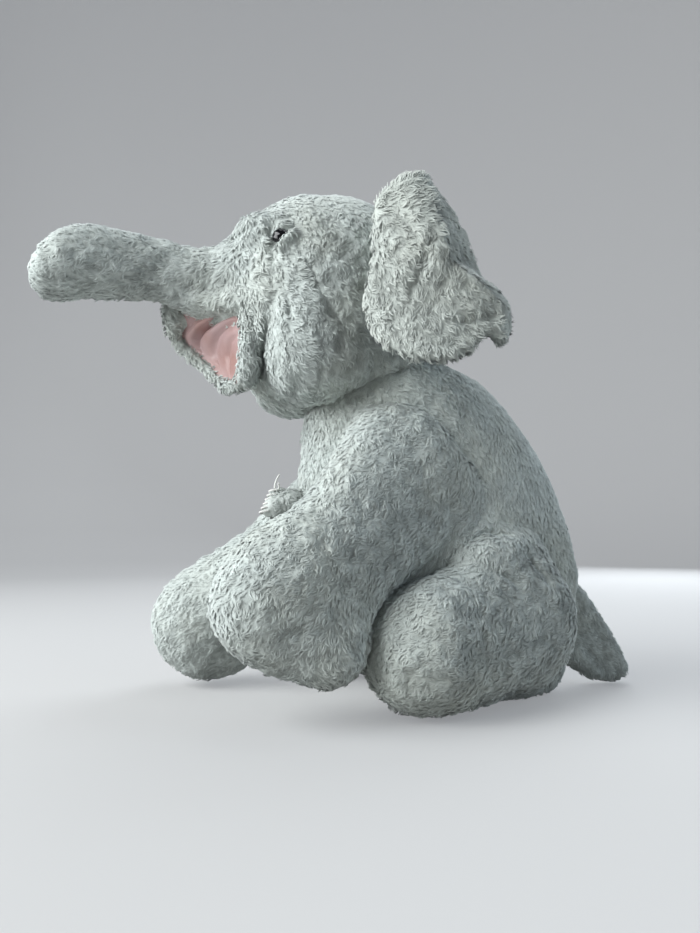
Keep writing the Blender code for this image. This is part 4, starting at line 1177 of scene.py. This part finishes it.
# ------------------------------------------------------------ stage and light
def stage():
    """A pale floor that curves up into a wall all round."""
    rings = [(0.0, 0.0), (0.6, 0.0), (1.2, 0.0), (1.9, 0.0), (2.3, 0.03), (2.65, 0.14), (2.9, 0.36), (3.05, 0.7), (3.1, 1.2), (3.1, 3.4)]
    seg = 64
    v, q, t3 = [(0, 0, 0)], [], []
    for r, z in rings[1:]:
        for k in range(seg):
            a = 2 * math.pi * k / seg
            v.append((r * math.cos(a) * 1000, r * math.sin(a) * 1000, z * 1000 - 1.0))
    v[0] = (0, 0, -1.0)
    for k in range(seg):
        t3.append((0, 1 + k, 1 + (k + 1) % seg))
    for i in range(len(rings) - 2):
        for k in range(seg):
            a, b = 1 + i * seg + k, 1 + i * seg + (k + 1) % seg
            q.append((a, a + seg, b + seg, b))
    m, nt, bs = new_mat("pale_floor")
    bs.inputs["Base Color"].default_value = (0.38, 0.375, 0.365, 1)
    bs.inputs["Roughness"].default_value = 0.9
    bs.inputs["Specular IOR Level"].default_value = 0.1
    bs.inputs["Emission Color"].default_value = (0.92, 0.95, 1.0, 1)
    # less bright where the floor lies close under the key light
    at = nt.nodes.new("ShaderNodeTexCoord")
    sep = nt.nodes.new("ShaderNodeSeparateXYZ")
    far = nt.nodes.new("ShaderNodeMapRange")
    far.interpolation_type = "SMOOTHSTEP"
    far.inputs[1].default_value, far.inputs[2].default_value = -2.0, -0.45
    shade = nt.nodes.new("ShaderNodeMix")
    shade.data_type = "RGBA"
    shade.inputs[6].default_value = (0.14, 0.138, 0.134, 1)
    shade.inputs[7].default_value = (0.38, 0.375, 0.365, 1)
    nt.links.new(at.outputs["Object"], sep.inputs[0])
    nt.links.new(sep.outputs["Y"], far.inputs[0])
    nt.links.new(far.outputs[0], shade.inputs[0])
    nt.links.new(shade.outputs[2], bs.inputs["Base Color"])
    # the floor glows: faintly, a painted light thrown onto the elephant, and more brightly where the camera sees it, to
    # keep the backdrop pale
    path = nt.nodes.new("ShaderNodeLightPath")
    seen = nt.nodes.new("ShaderNodeMapRange")
    seen.inputs[3].default_value, seen.inputs[4].default_value = 0.06, 0.26
    nt.links.new(path.outputs["Is Camera Ray"], seen.inputs[0])
    nt.links.new(seen.outputs[0], bs.inputs["Emission Strength"])
    ob = write_mesh("pale_floor", np.array(v, float), [np.array(q), np.array(t3)], m)
    return ob


floor = stage()
floor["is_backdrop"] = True

world = bpy.data.worlds.new("soft_room")
bpy.context.scene.world = world
world.use_nodes = True
world.node_tree.nodes["Background"].inputs["Color"].default_value = (0.74, 0.84, 0.97, 1)
world.node_tree.nodes["Background"].inputs["Strength"].default_value = 0.12


def area(name, loc, target, size, power, colour):
    ld = bpy.data.lights.new(name, "AREA")
    ld.shape = "DISK"
    ld.size = size
    ld.energy = power
    ld.color = colour
    ob = bpy.data.objects.new(name, ld)
    ob.location = loc
    ob.rotation_euler = (Vector(target) - Vector(loc)).to_track_quat("-Z", "Y").to_euler()
    bpy.context.scene.collection.objects.link(ob)
    return ob


area("key", (0.38, -1.80, 1.05), (0, -0.05, 0.18), 2.0, 75.0, (0.95, 0.985, 1.0))
area("top", (-0.3, 0.2, 1.7), (0, 0, 0.15), 1.2, 7.0, (0.92, 0.96, 1.0))
area("rear", (-1.3, 1.2, 0.9), (0, 0, 0.15), 1.6, 24.0, (0.86, 0.93, 1.0))
area("fill", (0.9, 1.5, 0.9), (0, 0, 0.15), 1.4, 8.0, (0.72, 0.87, 1.0))

cam_d = bpy.data.cameras.new("photo_view")
cam_d.lens = 29.9
cam_d.sensor_width = 36.0
cam = bpy.data.objects.new("photo_view", cam_d)
az, el, dist = math.radians(75), math.radians(-5), 0.62
tgt = Vector((0, -0.07, 0.18))
back = Vector((math.sin(az) * math.cos(el), -math.cos(az) * math.cos(el), math.sin(el)))
cam.location = tgt + back * dist
cam.rotation_mode = "QUATERNION"
cam.rotation_quaternion = (-back).to_track_quat("-Z", "Y")
cam_d.clip_start = 0.02
bpy.context.scene.collection.objects.link(cam)
bpy.context.scene.camera = cam
bpy.context.scene.view_settings.view_transform = "Standard"

lo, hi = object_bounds()
